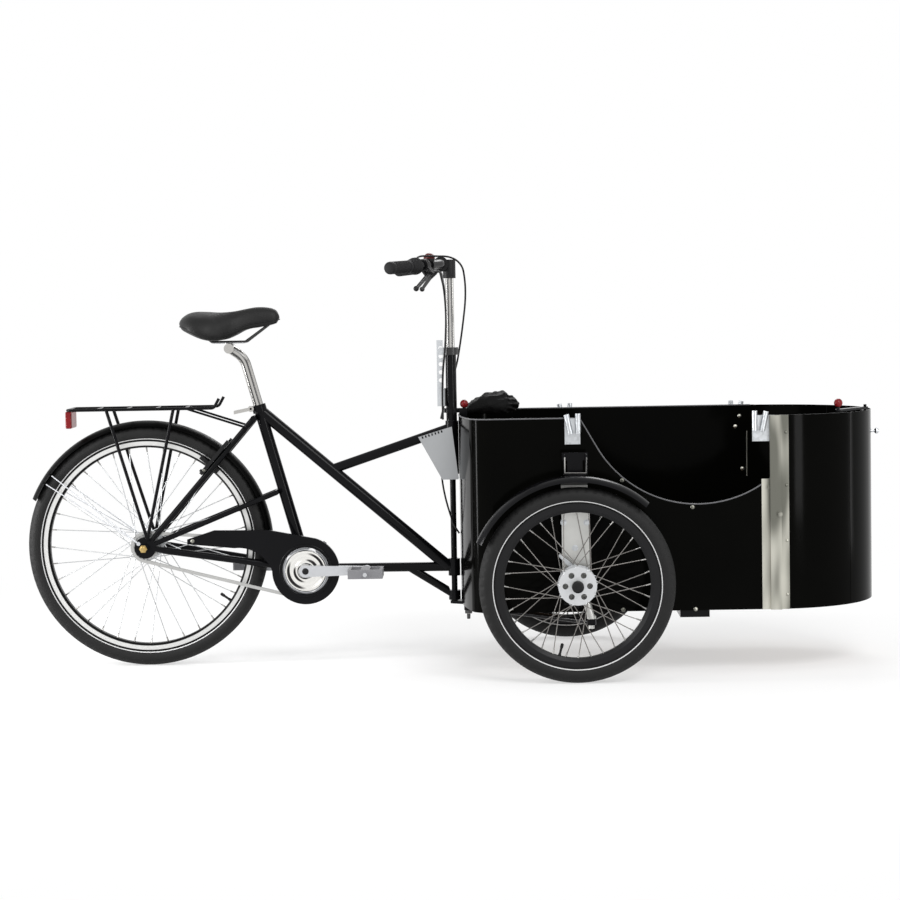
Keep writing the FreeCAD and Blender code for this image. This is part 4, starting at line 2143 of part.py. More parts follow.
# Brake arms: drum brakes in front, rim brake behind

def front_brake_arm():
    """A short arm on a pin of the right brake plate."""
    drum_edge = HALF_TRACK - V.front_flange_spread / 2 - V.flange_thickness * drum_gap_share
    inner_face = drum_edge - V.brake_plate_thickness - V.upright_gap
    pivot = Vector(FRONT_AXLE, -inner_face, FRONT_RADIUS + V.brake_pin_height)
    tip = pivot + Vector(-V.brake_plate_radius * arm_back_share, 0, V.brake_plate_radius * arm_rise_share)
    width = V.brake_arm_width
    depth = LEFT * V.tyre_wall
    side = (tip - pivot).cross(LEFT).normalize() * (width / 2)
    corners = [pivot + side, tip + side * arm_taper_share, tip - side * arm_taper_share, pivot - side]
    arm = Part.Face(Part.makePolygon(corners + corners[:1])).extrude(depth)
    eye = rod(pivot, pivot + depth, width)
    end = rod(tip, tip + depth, width * arm_taper_share)
    bore = rod(pivot, pivot + depth, V.stud_diameter + V.running_gap * 2)
    return arm.fuse([eye, end]).cut(bore)


right_front_arm = front_brake_arm()
part("front_brake_arm_right", right_front_arm)
part("front_brake_arm_left", mirrored(right_front_arm))


def rear_brake_arm():
    """A long arm on its pivot, with a block that faces the side of the rim."""
    lift = V.seat_stay_diameter / 2 + V.fit_gap * 8
    foot = boss_spot + boss_way * lift
    depth = boss_way * V.brake_arm_thickness
    half = LEFT * (V.brake_arm_width / 2)
    tip = foot + stay_way * V.brake_arm_length
    corners = [foot + half, tip + half * arm_taper_share, tip - half * arm_taper_share, foot - half]
    arm = Part.Face(Part.makePolygon(corners + corners[:1])).extrude(depth)
    eye = rod(foot, foot + depth, V.brake_arm_width)
    end = rod(tip, tip + depth, V.brake_arm_width * arm_taper_share)
    track = rear_rim_radius - V.rim_well_depth * brake_track_share
    pad_side = V.rim_width / 2 + V.pad_gap
    centre = rear_centre + stay_way * track + boss_way * (lift + V.brake_arm_thickness / 2)
    low = centre - LEFT * (pad_side + V.pad_height)
    corner = low - boss_way * (V.pad_length / 2) - stay_way * (V.pad_height / 2)
    corners = [corner, corner + boss_way * V.pad_length]
    corners += [spot + stay_way * V.pad_height for spot in reversed(corners)]
    pad = Part.Face(Part.makePolygon(corners + corners[:1])).extrude(LEFT * V.pad_height)
    post = rod(low + LEFT * V.rim_wall, Vector(low.x, foot.y, low.z), V.pull_pin_diameter)
    bore = rod(foot, foot + depth, V.brake_boss_diameter + V.running_gap * 2)
    return arm.fuse([eye, end, pad, post]).cut(bore)


right_rear_arm = rear_brake_arm()
part("rear_brake_right", right_rear_arm)
part("rear_brake_left", mirrored(right_rear_arm))


doc.recompute()


# Write every sub-part once the whole document is sound

def check_and_export():
    """Stop on any failed object, then write one STEP file for each sub-part."""
    for item in doc.Objects:
        if "Invalid" in item.State or "Error" in item.State:
            raise RuntimeError(f"{item.Name} failed: {item.State}")
    for item in parts:
        if item.Shape.isNull() or not item.Shape.isValid():
            raise RuntimeError(f"{item.Label} has no valid shape")
    os.makedirs("parts", exist_ok=True)
    for item in parts:
        item.Shape.exportStep(f"parts/{item.Label}.step")
        print(item.Label, len(item.Shape.Solids), round(item.Shape.Volume))


check_and_export()
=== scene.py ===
# %% [markdown]
# # A cargo tricycle, dressed for its picture
#
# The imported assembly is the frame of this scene. Every node sits at its true place, in metres, and stays
# there. The script adds what solids do not show: finishes, tread, padding, folds, nipples and rivets.
# The machine points along +X, the rider's left is +Y and the ground is at Z = 0.

# %% Load the frame
import bmesh
import bpy
import json
import math
import numpy as np
from mathutils import Matrix, Vector


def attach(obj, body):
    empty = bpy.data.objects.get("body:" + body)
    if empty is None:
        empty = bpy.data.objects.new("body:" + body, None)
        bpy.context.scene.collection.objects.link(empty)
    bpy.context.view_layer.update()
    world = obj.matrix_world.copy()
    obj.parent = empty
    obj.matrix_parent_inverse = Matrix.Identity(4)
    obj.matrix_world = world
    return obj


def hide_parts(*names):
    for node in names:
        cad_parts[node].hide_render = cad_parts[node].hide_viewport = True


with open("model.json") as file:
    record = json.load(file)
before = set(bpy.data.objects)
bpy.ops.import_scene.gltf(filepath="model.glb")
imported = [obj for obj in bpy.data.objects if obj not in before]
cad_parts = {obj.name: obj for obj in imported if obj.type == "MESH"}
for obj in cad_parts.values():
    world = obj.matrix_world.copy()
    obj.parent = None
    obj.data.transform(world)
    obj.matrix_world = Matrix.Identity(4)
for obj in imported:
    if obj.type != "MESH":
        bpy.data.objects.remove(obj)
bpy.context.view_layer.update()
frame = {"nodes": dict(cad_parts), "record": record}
nodes = frame["nodes"]
record = frame["record"]

# %% [markdown]
# ## Camera
#
# The machine is seen from its right side and from far away, so near and far parts have almost the same size.
# A long lens stands 6.4 m to the right at the height of the handlebar and looks a little down and back. The
# picture is turned by one degree. The focal length is counted in picture widths, so that it holds for a
# picture of any size.

# %% Camera
PICTURE = 900
FOCAL_SHARE = 2367 / PICTURE
SENSOR_WIDTH = 36.0
CAMERA_SPOT = Vector((0.1013, -6.39, 0.988))
LOOK_DOWN = math.radians(3.72)
LOOK_BACK = math.radians(0.944)
PICTURE_TURN = math.radians(1.0)

lens = bpy.data.cameras.new("photo_camera")
lens.sensor_width = SENSOR_WIDTH
lens.lens = FOCAL_SHARE * SENSOR_WIDTH
camera = bpy.data.objects.new("photo_camera", lens)
bpy.context.scene.collection.objects.link(camera)
camera.matrix_world = (
    Matrix.Translation(CAMERA_SPOT) @ Matrix.Rotation(LOOK_BACK, 4, "Z")
    @ Matrix.Rotation(math.pi / 2 - LOOK_DOWN, 4, "X") @ Matrix.Rotation(-PICTURE_TURN, 4, "Z"))
bpy.context.scene.camera = camera
print("camera lens", round(lens.lens, 2), "mm")

# %% [markdown]
# ## Sockets that can be added and multiplied
#
# A finish is a tree of nodes, and linking each node by hand hides the sum that the tree works out. Here a
# small class wraps a socket, so that `a * 2 + b` makes two math nodes, and its method `node` makes any other
# kind.

# %% Socket class

def feed(tree, value, socket):
    """Links a wire to a socket, or sets a plain value on it."""
    if isinstance(value, Wire):
        tree.links.new(value.socket, socket)
    else:
        socket.default_value = value


class Wire:
    """An output socket with arithmetic."""

    def __init__(self, tree, socket):
        self.tree = tree
        self.socket = socket

    def node(self, kind, inputs, out=0, **settings):
        """Any node: settings are its properties, inputs are keyed by socket name or number."""
        made = self.tree.nodes.new(kind)
        for key, value in settings.items():
            setattr(made, key, value)
        for key, value in inputs.items():
            feed(self.tree, value, made.inputs[key])
        return Wire(self.tree, made.outputs[out])

    def math(self, operation, one, two):
        return self.node("ShaderNodeMath", {0: one, 1: two}, operation=operation)

    def __add__(self, other):
        return self.math("ADD", self, other)

    def __sub__(self, other):
        return self.math("SUBTRACT", self, other)

    def __mul__(self, other):
        return self.math("MULTIPLY", self, other)

    def __rsub__(self, other):
        return self.math("SUBTRACT", other, self)

    __radd__ = __add__
    __rmul__ = __mul__

    def fade(self, low, high):
        """Smooth step from 0 at low to 1 at high."""
        return self.node(
            "ShaderNodeMapRange", {0: self, 1: low, 2: high}, interpolation_type="SMOOTHSTEP")

    def noise(self, scale, detail=4.0):
        """Grain between 0 and 1 over this coordinate."""
        return self.node(
            "ShaderNodeTexNoise", {"Vector": self, "Scale": scale, "Detail": detail}, out="Fac")

    def vector(self, operation, other=(0.0, 0.0, 0.0), out=0):
        """Vector maths on this coordinate."""
        return self.node("ShaderNodeVectorMath", {0: self, 1: other}, out=out, operation=operation)

    def stretched(self, factors):
        """This coordinate, multiplied axis by axis."""
        return self.vector("MULTIPLY", factors)

    def spread(self, span):
        """This factor times a swing, on top of a base."""
        swing, base = span
        return self * swing + base

    def mix(self, low, high):
        """A colour between two colours by this factor."""
        return self.node("ShaderNodeMix", {0: self, 6: low, 7: high}, out=2, data_type="RGBA")

    def bump(self, depth, strength):
        """A normal from this height, depth in metres."""
        return self.node(
            "ShaderNodeBump", {"Strength": strength, "Distance": depth, "Height": self}, out="Normal")


finishes = {}


def start(name):
    """The shader and the object coordinates of a new material, which is kept under its name."""
    made = bpy.data.materials.new(name)
    finishes[name] = made
    made.use_nodes = True
    tree = made.node_tree
    coordinates = tree.nodes.new("ShaderNodeTexCoord")
    return tree.nodes["Principled BSDF"], Wire(tree, coordinates.outputs["Object"])


def finish(shader, inputs):
    """Feeds several inputs of a shader."""
    for key, value in inputs.items():
        feed(shader.id_data, value, shader.inputs[key])


def rgba(colour, factor=1.0):
    """A grey or a colour as four numbers, darker or lighter by a factor."""
    red, green, blue = np.broadcast_to(np.multiply(colour, factor), 3).tolist()
    return (red, green, blue, 1.0)


print("socket class ready")

# %% [markdown]
# ## Floor and sky
#
# The machine stands in front of white and throws a soft shadow. A floor that is simply white would either
# lose the shadow or show its far edge. This floor is matt near the machine and glows more and more with the
# distance, until it is the white of the background. The sky is white for the eye and for reflections, and
# softer as a light, so that dark lacquer stays dark.

# %% Floor and sky
FLOOR_SIDE = 60.0
FLOOR_DROP = 0.0005
FLOOR_GREY = 0.93
FLOOR_ROUGH = 0.9
FLOOR_GLOW = 0.5
SHADOW_REACH = (1.3, 2.6)
SKY_LIGHT = 0.62


def world_light():
    """White for camera, glossy and transmission rays, a soft grey light for the rest."""
    world = bpy.data.worlds.new("studio")
    bpy.context.scene.world = world
    world.use_nodes = True
    tree = world.node_tree
    path = tree.nodes.new("ShaderNodeLightPath")
    seen = Wire(tree, path.outputs["Is Camera Ray"])
    shiny = Wire(tree, path.outputs["Is Glossy Ray"])
    clear = Wire(tree, path.outputs["Is Transmission Ray"])
    share = seen.math("MAXIMUM", seen, seen.math("MAXIMUM", shiny, clear))
    feed(tree, share * (1 - SKY_LIGHT) + SKY_LIGHT, tree.nodes["Background"].inputs["Strength"])
    tree.nodes["Background"].inputs["Color"].default_value = rgba(1.0)


def floor_material():
    """Pale matt near the machine, fading to the white of the background."""
    shader, at = start("studio_floor")
    finish(shader, {"Base Color": rgba(FLOOR_GREY), "Roughness": FLOOR_ROUGH, "Specular IOR Level": 0.0})
    distance = at.vector("LENGTH", out="Value")
    tree = at.tree
    glow = tree.nodes.new("ShaderNodeEmission")
    glow.inputs["Color"].default_value = rgba(1.0)
    blend = at.node("ShaderNodeMixShader", {
        0: distance.fade(*SHADOW_REACH) * (1 - FLOOR_GLOW) + FLOOR_GLOW,
        1: Wire(tree, shader.outputs[0]), 2: Wire(tree, glow.outputs[0])})
    tree.links.new(blend.socket, tree.nodes["Material Output"].inputs["Surface"])


corners = FLOOR_SIDE / 2 * np.array([(-1, -1, 0), (1, -1, 0), (1, 1, 0), (-1, 1, 0)])
floor_mesh = bpy.data.meshes.new("floor")
floor_mesh.from_pydata((corners - (0, 0, FLOOR_DROP)).tolist(), [], [(0, 1, 2, 3)])
floor = bpy.data.objects.new("floor", floor_mesh)
bpy.context.scene.collection.objects.link(floor)
floor_material()
floor_mesh.materials.append(finishes["studio_floor"])
world_light()
bpy.context.scene.view_settings.view_transform = "Standard"
print("floor of", FLOOR_SIDE, "m and sky")

# %% [markdown]
# ## Lamps
#
# Black lacquer has almost no colour of its own, so its form shows only by what it mirrors. Three large soft
# boxes light the whole machine. Three tall strips stand beside it, because bent sheet turns a strip into the
# long bright line that the eye reads as a curve.

# %% Lamps
MIDDLE = (0.0, 0.0, 0.5)
# Each row has a name, spot, target, width and height in metres, and power in watts.
lamps = [
    ("key", (1.6, -3.4, 3.6), MIDDLE, (2.2, 1.6), 95.0),
    ("fill", (-3.2, -2.6, 2.4), MIDDLE, (1.6, 2.0), 45.0),
    ("back", (0.6, 3.2, 3.4), MIDDLE, (2.4, 1.4), 60.0),
    ("rear_strip", (-2.6, -0.5, 0.7), (0.06, -0.26, 0.5), (0.3, 1.3), 45.0),
    ("nose_strip", (3.4, 0.2, 0.7), (1.07, -0.2, 0.5), (0.3, 1.3), 6.0),
    ("front_strip", (2.6, -3.0, 0.8), (0.93, -0.28, 0.5), (0.5, 1.4), 24.0)]


def lamp(name, spot, target, size, power):
    """A rectangular soft box at a spot, turned to a target."""
    data = bpy.data.lights.new(name, "AREA")
    data.shape = "RECTANGLE"
    data.size, data.size_y = size
    data.energy = power
    made = bpy.data.objects.new(name, data)
    bpy.context.scene.collection.objects.link(made)
    aim = Vector(target) - Vector(spot)
    made.location = spot
    made.rotation_euler = aim.to_track_quat("-Z", "Y").to_euler()


for row in lamps:
    lamp(*row)
print(len(lamps), "lamps")

# %% [markdown]
# ## Paint, plastic and rubber
#
# The tubes and the box are lacquered, the grips and tyres are rubber, and the levers are plastic. One colour
# and one roughness would look like a toy. Lacquer gets faint orange peel as bump and a little dust, which
# changes colour and roughness together. Moulded pieces get a fine pebbled texture instead. Noise on object
# coordinates is enough for both, because neither has a direction.

# %% Paint, plastic and rubber
SOFT_GLOSS = 0.22
GRAIN_DEPTH = 0.0002
FAINT = 0.05
DUST_LIFT = 1.7
DUST_ROUGH = 0.12
WORN_TONES = (0.8, 1.25)
WORN_ROUGH = 0.1
PEBBLE_STRENGTH = 0.35


def painted(name, colour, rough, gloss):
    """Lacquer: orange peel as bump, dust as roughness and a trace of colour."""
    shader, at = start(name)
    dust = at.noise(scale=9.0)
    peel = at.noise(scale=420.0, detail=2.0)
    finish(shader, {
        "Base Color": dust.mix(rgba(colour), rgba(colour, DUST_LIFT)),
        "Roughness": dust * DUST_ROUGH + rough,
        "Specular IOR Level": gloss,
        "Normal": peel.bump(GRAIN_DEPTH, FAINT)})


def moulded(name, colour, rough, grain, depth):
    """Plastic or rubber: a fine pebbled texture and worn edges of tone."""
    shader, at = start(name)
    pebble = at.noise(scale=grain, detail=3.0)
    tone = at.noise(scale=22.0)
    darker, lighter = WORN_TONES
    finish(shader, {
        "Base Color": tone.mix(rgba(colour, darker), rgba(colour, lighter)),
        "Roughness": tone * WORN_ROUGH + rough,
        "Specular IOR Level": SOFT_GLOSS,
        "Normal": pebble.bump(depth, PEBBLE_STRENGTH)})


print("paint and moulded finishes ready")

# %% [markdown]
# ## Bare metal
#
# Hubs, cranks, rims, posts and sockets are bare or plated. Metal is mostly what it mirrors, and a white
# studio gives it nothing dark to mirror. So reflections and shade are painted into the base colour: chrome
# carries painted reflection bands, dark and light by the way that its surface faces, polished sheet carries
# tall soft patches of painted reflection, and the rim and the front hubs carry dark rings about their axle,
# painted shade at the inner wall of the rim and painted reflection elsewhere. These painted tones stay in
# place from every side. A piece that is half painted turns from metal to paint along one axis.

# %% Plain and plated metal
UPRIGHT_GRAIN = (30.0, 30.0, 1.0)
STAIN_TONE = 0.86
# Painted reflection bands of chrome: the way that they follow, how many, where they start, and their edges.
REFLECTION_BAND_WAY = (1.0, 0.2, 0.55)
REFLECTION_BAND_TURNS = 7.0
REFLECTION_BAND_START = 3.0
REFLECTION_BAND_EDGES = (-0.7, 0.3)
CHROME_ROUGH = (0.05, 0.2)
# Tall soft patches of painted reflection on polished sheet: their stretch, edges, dark and light tone.
REFLECTION_PATCH_STRETCH = (9.0, 9.0, 1.6)
REFLECTION_PATCH_EDGES = (0.36, 0.62)
REFLECTION_PATCH_DARK = (0.14, 0.14, 0.12)
REFLECTION_PATCH_LIGHT = (0.52, 0.51, 0.45)
SHEET_ROUGH = (0.08, 0.34)


def metal(name, colour, rough, grain, depth=0.12):
    """Bare metal: fine grain in roughness and bump, stains in colour."""
    shader, at = start(name)
    lines = at.noise(scale=grain, detail=6.0)
    stain = at.noise(scale=14.0)
    finish(shader, {
        "Base Color": stain.mix(rgba(colour, STAIN_TONE), rgba(colour)),
        "Metallic": 1.0,
        "Roughness": lines * depth + rough,
        "Normal": lines.bump(GRAIN_DEPTH, depth)})


def chromed(name, dark, light):
    """Chrome: a painted reflection, dark and light bands in the base colour by the way that the surface
    faces, as of a room mirrored in it.
    """
    shader, at = start(name)
    facing = Wire(at.tree, at.socket.node.outputs["Normal"])
    side = facing.vector("DOT_PRODUCT", REFLECTION_BAND_WAY, out="Value")
    reflection_bands = at.math("SINE", side * REFLECTION_BAND_TURNS + REFLECTION_BAND_START, 0.0)
    finish(shader, {
        "Base Color": reflection_bands.fade(*REFLECTION_BAND_EDGES).mix(rgba(dark), rgba(light)),
        "Metallic": 1.0,
        "Roughness": at.noise(scale=60.0).spread(CHROME_ROUGH)})


def mirrored_sheet(name):
    """Polished sheet that carries tall soft patches of painted reflection in its base colour, as of a room
    mirrored in it.
    """
    shader, at = start(name)
    patches = at.stretched(REFLECTION_PATCH_STRETCH).noise(scale=2.4, detail=1.0).fade(*REFLECTION_PATCH_EDGES)
    grain = at.stretched(UPRIGHT_GRAIN).noise(scale=40.0, detail=6.0)
    finish(shader, {
        "Base Color": patches.mix(rgba(REFLECTION_PATCH_DARK), rgba(REFLECTION_PATCH_LIGHT)),
        "Metallic": 1.0,
        "Roughness": grain.spread(SHEET_ROUGH),
        "Normal": grain.bump(GRAIN_DEPTH, FAINT)})


print("plain and plated metal ready")

# %% Rings, half paint and zinc
FAR_EDGE = (2.0, 1.0)
RING_ROUGH = (0.12, 0.36)
HALF_PAINT = 0.006
HALF_TONE = 0.8
HALF_ROUGH = 0.15
CRYSTAL_TONE = 0.75
CRYSTAL_ROUGH = 0.14


def ring_metal(name, colour, dark, centre, edges, outer=FAR_EDGE):
    """Turned metal in rings of two tones about an axle, with a fade at each edge. On the rim and the front
    hubs the dark rings are painted shade and painted reflection; on the rear fender the two tones are its own
    bright stays and black sheet.
    """
    shader, at = start(name)
    spoke = at.stretched((1.0, 0.0, 1.0)).vector("SUBTRACT", centre)
    radius = spoke.vector("LENGTH", out="Value")
    bright = radius.fade(*edges) * radius.fade(*outer)
    finish(shader, {
        "Base Color": bright.mix(rgba(dark), rgba(colour)),
        "Metallic": 1.0,
        "Roughness": at.noise(scale=60.0).spread(RING_ROUGH)})


def two_tone(name, colour, rough, axis, edges):
    """Bare metal that turns into black paint along one axis."""
    shader, at = start(name)
    bare = at.node("ShaderNodeSeparateXYZ", {0: at}, out=axis).fade(*edges)
    stain = at.noise(scale=40.0)
    light = stain.mix(rgba(colour, HALF_TONE), rgba(colour))
    finish(shader, {
        "Base Color": bare.mix(rgba(HALF_PAINT), light),
        "Metallic": bare,
        "Roughness": stain * HALF_ROUGH + rough})


def spangled(name, colour, rough):
    """Zinc plate: flat crystals of slightly different brightness."""
    shader, at = start(name)
    crystal = at.node("ShaderNodeTexVoronoi", {"Vector": at, "Scale": 160.0}, out="Color")
    finish(shader, {
        "Base Color": crystal.mix(rgba(colour, CRYSTAL_TONE), rgba(colour)),
        "Metallic": 1.0,
        "Roughness": crystal * CRYSTAL_ROUGH + rough})


print("rings, half paint and zinc ready")

# %% [markdown]
# ## Wood, skin and cloth
#
# The floor of the box is plywood, the saddle has a grained skin and the cover is coated cloth. Pictures of
# such stuff could be laid on with a UV map. Noise that is drawn out along the board, cells between creases
# and two crossed waves say the same with a few nodes, and they have no seams.

# %% Wood, skin and cloth
CLOTH_GLOSS = 0.07
WOOD_STRETCH = (3.0, 40.0, 40.0)
WOOD_DARK = (0.11, 0.06, 0.03)
WOOD_LIGHT = (0.26, 0.16, 0.08)
WOOD_ROUGH = (0.2, 0.4)
SKIN_TONES = (0.004, 0.009)
SKIN_ROUGH = (0.14, 0.42)
CLOTH_TONES = (0.002, 0.006)
CLOTH_ROUGH = (0.15, 0.5)
THREADS = 260.0


def plywood(name):
    """Film-faced board with long growth lines."""
    shader, at = start(name)
    growth = at.stretched(WOOD_STRETCH).noise(scale=2.2, detail=6.0)
    finish(shader, {
        "Base Color": growth.mix(rgba(WOOD_DARK), rgba(WOOD_LIGHT)),
        "Roughness": growth.spread(WOOD_ROUGH),
        "Normal": growth.bump(depth=0.0004, strength=0.2)})


def leather(name):
    """Saddle skin: small cells between fine creases."""
    shader, at = start(name)
    cells = at.node(
        "ShaderNodeTexVoronoi", {"Vector": at, "Scale": 420.0}, out="Distance", feature="F1")
    tone = at.noise(scale=30.0)
    finish(shader, {
        "Base Color": tone.mix(*(rgba(grey) for grey in SKIN_TONES)),
        "Roughness": tone.spread(SKIN_ROUGH),
        "Specular IOR Level": SOFT_GLOSS,
        "Normal": cells.bump(depth=0.0008, strength=0.3)})


def woven(name):
    """Coated cloth: warp and weft as two crossed waves."""
    shader, at = start(name)
    warp, weft = (
        at.node("ShaderNodeTexWave", {"Vector": at, "Scale": THREADS}, bands_direction=axis)
        for axis in "XY")
    tone = at.noise(scale=24.0)
    finish(shader, {
        "Base Color": tone.mix(*(rgba(grey) for grey in CLOTH_TONES)),
        "Roughness": tone.spread(CLOTH_ROUGH),
        "Specular IOR Level": CLOTH_GLOSS,
        "Normal": (warp + weft).bump(depth=0.0003, strength=0.25)})


print("wood, skin and cloth ready")

# %% [markdown]
# ## A finish for each node
#
# Each slot of the record gets one finish, so that every node of that slot is dressed at once. A few nodes
# differ from their slot: the rails under the saddle are black and their clamp is bright, the stays of the
# rear fender are bright and its sheet is black, and the front hubs turn darker where the spokes start, which
# is a painted reflection.

# %% Finish table
REAR_AXLE = np.array([-0.82675, 0.0, 0.3265])
REAR_CENTRE = tuple(REAR_AXLE * (1, 0, 1))
FRONT_AXLE_X = 0.32025
FRONT_RADIUS = 0.25
FRONT_CENTRE = (FRONT_AXLE_X, 0.0, FRONT_RADIUS)
X_AXIS = 0
Z_AXIS = 2
HUB_GREY = (0.56, 0.57, 0.58)
HUB_REFLECTION_DARK = (0.20, 0.19, 0.18)
BRIGHT = (0.58, 0.59, 0.61)
FITTING_GREY = (0.62, 0.64, 0.66)
FENDER_BLACK = 0.004
painted("frame_black", (0.0025, 0.0025, 0.003), rough=0.12, gloss=0.1)
painted("box_black", (0.0010, 0.0010, 0.0008), rough=0.05, gloss=0.025)
painted("rim_black", (0.004, 0.004, 0.0045), rough=0.3, gloss=0.2)
moulded("tyre_rubber", (0.010, 0.010, 0.011), rough=0.62, grain=900.0, depth=0.0003)
moulded("grip_rubber", (0.006, 0.006, 0.0065), rough=0.60, grain=900.0, depth=0.0003)
moulded("black_plastic", (0.005, 0.005, 0.0055), rough=0.40, grain=800.0, depth=0.0002)
moulded("red_plastic", (0.15, 0.006, 0.008), rough=0.18, grain=300.0, depth=0.0001)
moulded("pedal_grey", (0.19, 0.19, 0.20), rough=0.45, grain=600.0, depth=0.0002)
metal("hub_silver", HUB_GREY, rough=0.30, grain=300.0)
metal("chain_steel", (0.52, 0.52, 0.51), rough=0.25, grain=500.0)
metal("guard_grey", (0.42, 0.43, 0.44), rough=0.4, grain=500.0, depth=0.05)
metal("polished", BRIGHT, rough=0.36, grain=80.0, depth=0.08)
# Chrome: its base colour carries dark and light bands of painted reflection.
chromed("chrome", dark=0.07, light=(0.50, 0.49, 0.47))
# Stainless: tall soft patches of painted reflection in its base colour.
mirrored_sheet("stainless")
spangled("zinc", (0.60, 0.62, 0.64), rough=0.30)
# The rim's dark rings are painted: shade at its inner wall, and a dark reflection at its edge next to the
# tyre.
ring_metal("rim_silver", (0.66, 0.66, 0.65), 0.012, REAR_CENTRE, (0.2722, 0.2736), outer=(0.2846, 0.2832))
ring_metal("fender_stays", FENDER_BLACK, BRIGHT, REAR_CENTRE, (0.320, 0.322))
# The front hubs turn dark where the spokes start: a painted reflection.
ring_metal("front_hub", HUB_GREY, HUB_REFLECTION_DARK, FRONT_CENTRE, (0.053, 0.050))
two_tone("knuckle_grey", (0.58, 0.58, 0.56), rough=0.3, axis=Z_AXIS, edges=(0.502, 0.498))
two_tone("column_fittings", FITTING_GREY, rough=0.3, axis=X_AXIS, edges=(-0.014, -0.018))
two_tone("saddle_frame", BRIGHT, rough=0.3, axis=Z_AXIS, edges=(0.874, 0.872))
leather("saddle_skin")
woven("cover_fabric")
plywood("floor_wood")
own_finish = {
    "column_fittings": "column_fittings", "saddle_frame": "saddle_frame", "rear_fender": "fender_stays",
    "chainring": "polished", "crank_arms": "polished", "front_hub_right": "front_hub",
    "front_hub_left": "front_hub"}
for row in record["subparts"]:
    slots = nodes[row["node"]].data.materials
    slots.clear()
    slots.append(finishes[own_finish.get(row["node"], row["material_slot"])])
print(len(record["subparts"]), "nodes dressed,", len(own_finish), "of them in a finish of their own")

# %% [markdown]
# ## Surfaces from two parameters
#
# Turned heads, tyres, wires and skins are all sheets that are bent into a shape. Each could be modelled by
# hand from a primitive. Here every new piece is a grid of points that a formula gives at once, so that forty
# rivets cost one call and a size can change without new work. The rows of a grid close into rings, doubled
# points at the poles are merged, and edges sharper than 38 degrees stay sharp.

# %% Mesh from grids
SHARP = math.radians(38)
JOIN = 0.000001


def piece(name, points, finish_name, body, slot=None, **attributes):
    """A mesh over grids of points (copies, rows, columns, 3), whose rows close into rings."""
    points = np.asarray(points, float)
    copies, rows, columns = points.reshape((-1,) + points.shape[-3:]).shape[:3]
    index = np.arange(copies * rows * columns).reshape(copies, rows, columns)
    index = np.concatenate([index, index[:, :1]], axis=1)
    quads = np.stack(
        [index[:, :-1, :-1], index[:, 1:, :-1], index[:, 1:, 1:], index[:, :-1, 1:]], axis=-1)
    mesh = bpy.data.meshes.new(name)
    mesh.from_pydata(points.reshape(-1, 3).tolist(), [], quads.reshape(-1, 4).tolist())
    for key, values in attributes.items():
        mesh.attributes.new(key, "FLOAT", "POINT").data.foreach_set("value", np.ravel(values))
    joined = bmesh.new()
    joined.from_mesh(mesh)
    bmesh.ops.remove_doubles(joined, verts=joined.verts, dist=JOIN)
    bmesh.ops.dissolve_degenerate(joined, edges=joined.edges, dist=JOIN)
    joined.to_mesh(mesh)
    joined.free()
    mesh.shade_smooth()
    mesh.set_sharp_from_angle(angle=SHARP)
    made = bpy.data.objects.new(name, mesh)
    bpy.context.scene.collection.objects.link(made)
    mesh.materials.append(finishes[finish_name])
    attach(made, body)
    return made


print("mesh tool ready")

# %% Lathe and tube
NEARLY_UPRIGHT = 0.9
SIDEWAYS = np.array([1.0, 0.0, 0.0])
UP = np.array([0.0, 0.0, 1.0])
FLIP = np.array([1, -1, 1])
BOTH_SIDES = np.array([FLIP, [1, 1, 1]])


def unit(vectors):
    """Vectors of length one."""
    vectors = np.asarray(vectors, float)
    return vectors / np.linalg.norm(vectors, axis=-1, keepdims=True)


def frames(directions):
    """Two unit vectors square to each direction, right-handed with it."""
    d = unit(directions)
    helper = np.where(np.abs(d[..., 2:3]) > NEARLY_UPRIGHT, SIDEWAYS, UP)
    first = unit(np.cross(helper, d))
    return first, np.cross(d, first)


def circle_turns(count):
    """Angles of a whole turn, without the last one, which is the first again."""
    return np.linspace(0, 2 * np.pi, count, endpoint=False)


def lathe(spots, directions, profile, count=24):
    """P(a, j) = spot + s_j d + r_j (e1 cos a + e2 sin a) for each spot and profile point (s, r)."""
    spots = np.atleast_2d(spots)[:, None, None, :]
    d = np.broadcast_to(unit(np.atleast_2d(directions)), (len(spots), 3))
    first, second = frames(d)
    turn = circle_turns(count)[None, :, None, None]
    s, r = np.asarray(profile, float).T[:, None, None, :, None]
    ring = first[:, None, None] * np.cos(turn) + second[:, None, None] * np.sin(turn)
    return spots + s * d[:, None, None] + r * ring


def tube(path, radius, count=10):
    """P(a, i) = path_i + r (e1 cos a + e2 sin a), with e1 and e2 square to the path."""
    path = np.asarray(path, float)
    first, second = frames(np.gradient(path, axis=0))
    turn = circle_turns(count)[:, None, None]
    wall = path + radius * (first * np.cos(turn) + second * np.sin(turn))
    ends = np.broadcast_to(path[[0, -1]], (count, 2, 3))
    return np.concatenate([ends[:, :1], wall, ends[:, 1:]], axis=1)


def ellipse_arc(first, last, count, radius, height):
    """Profile between two angles a of an ellipse: s = height sin a, r = radius cos a."""
    turn = np.linspace(first, last, count)
    return np.stack([height * np.sin(turn), radius * np.cos(turn)], axis=-1)


def dome(radius, height, count=6):
    """Profile of a round head standing on its foot."""
    return ellipse_arc(0, np.pi / 2, count, radius, height)


def ball(radius):
    """Profile of a ball about its middle."""
    return ellipse_arc(-np.pi / 2, np.pi / 2, 25, radius, radius)


print("lathe and tube ready")

# %% Smooth curves

def cubic(a, b, c, d, t):
    """The arc from b to c whose slopes come from the neighbours a and d."""
    bend = (2 * a - 5 * b + 4 * c - d) * t ** 2 + (3 * b - a - 3 * c + d) * t ** 3
    return b + ((c - a) * t + bend) / 2


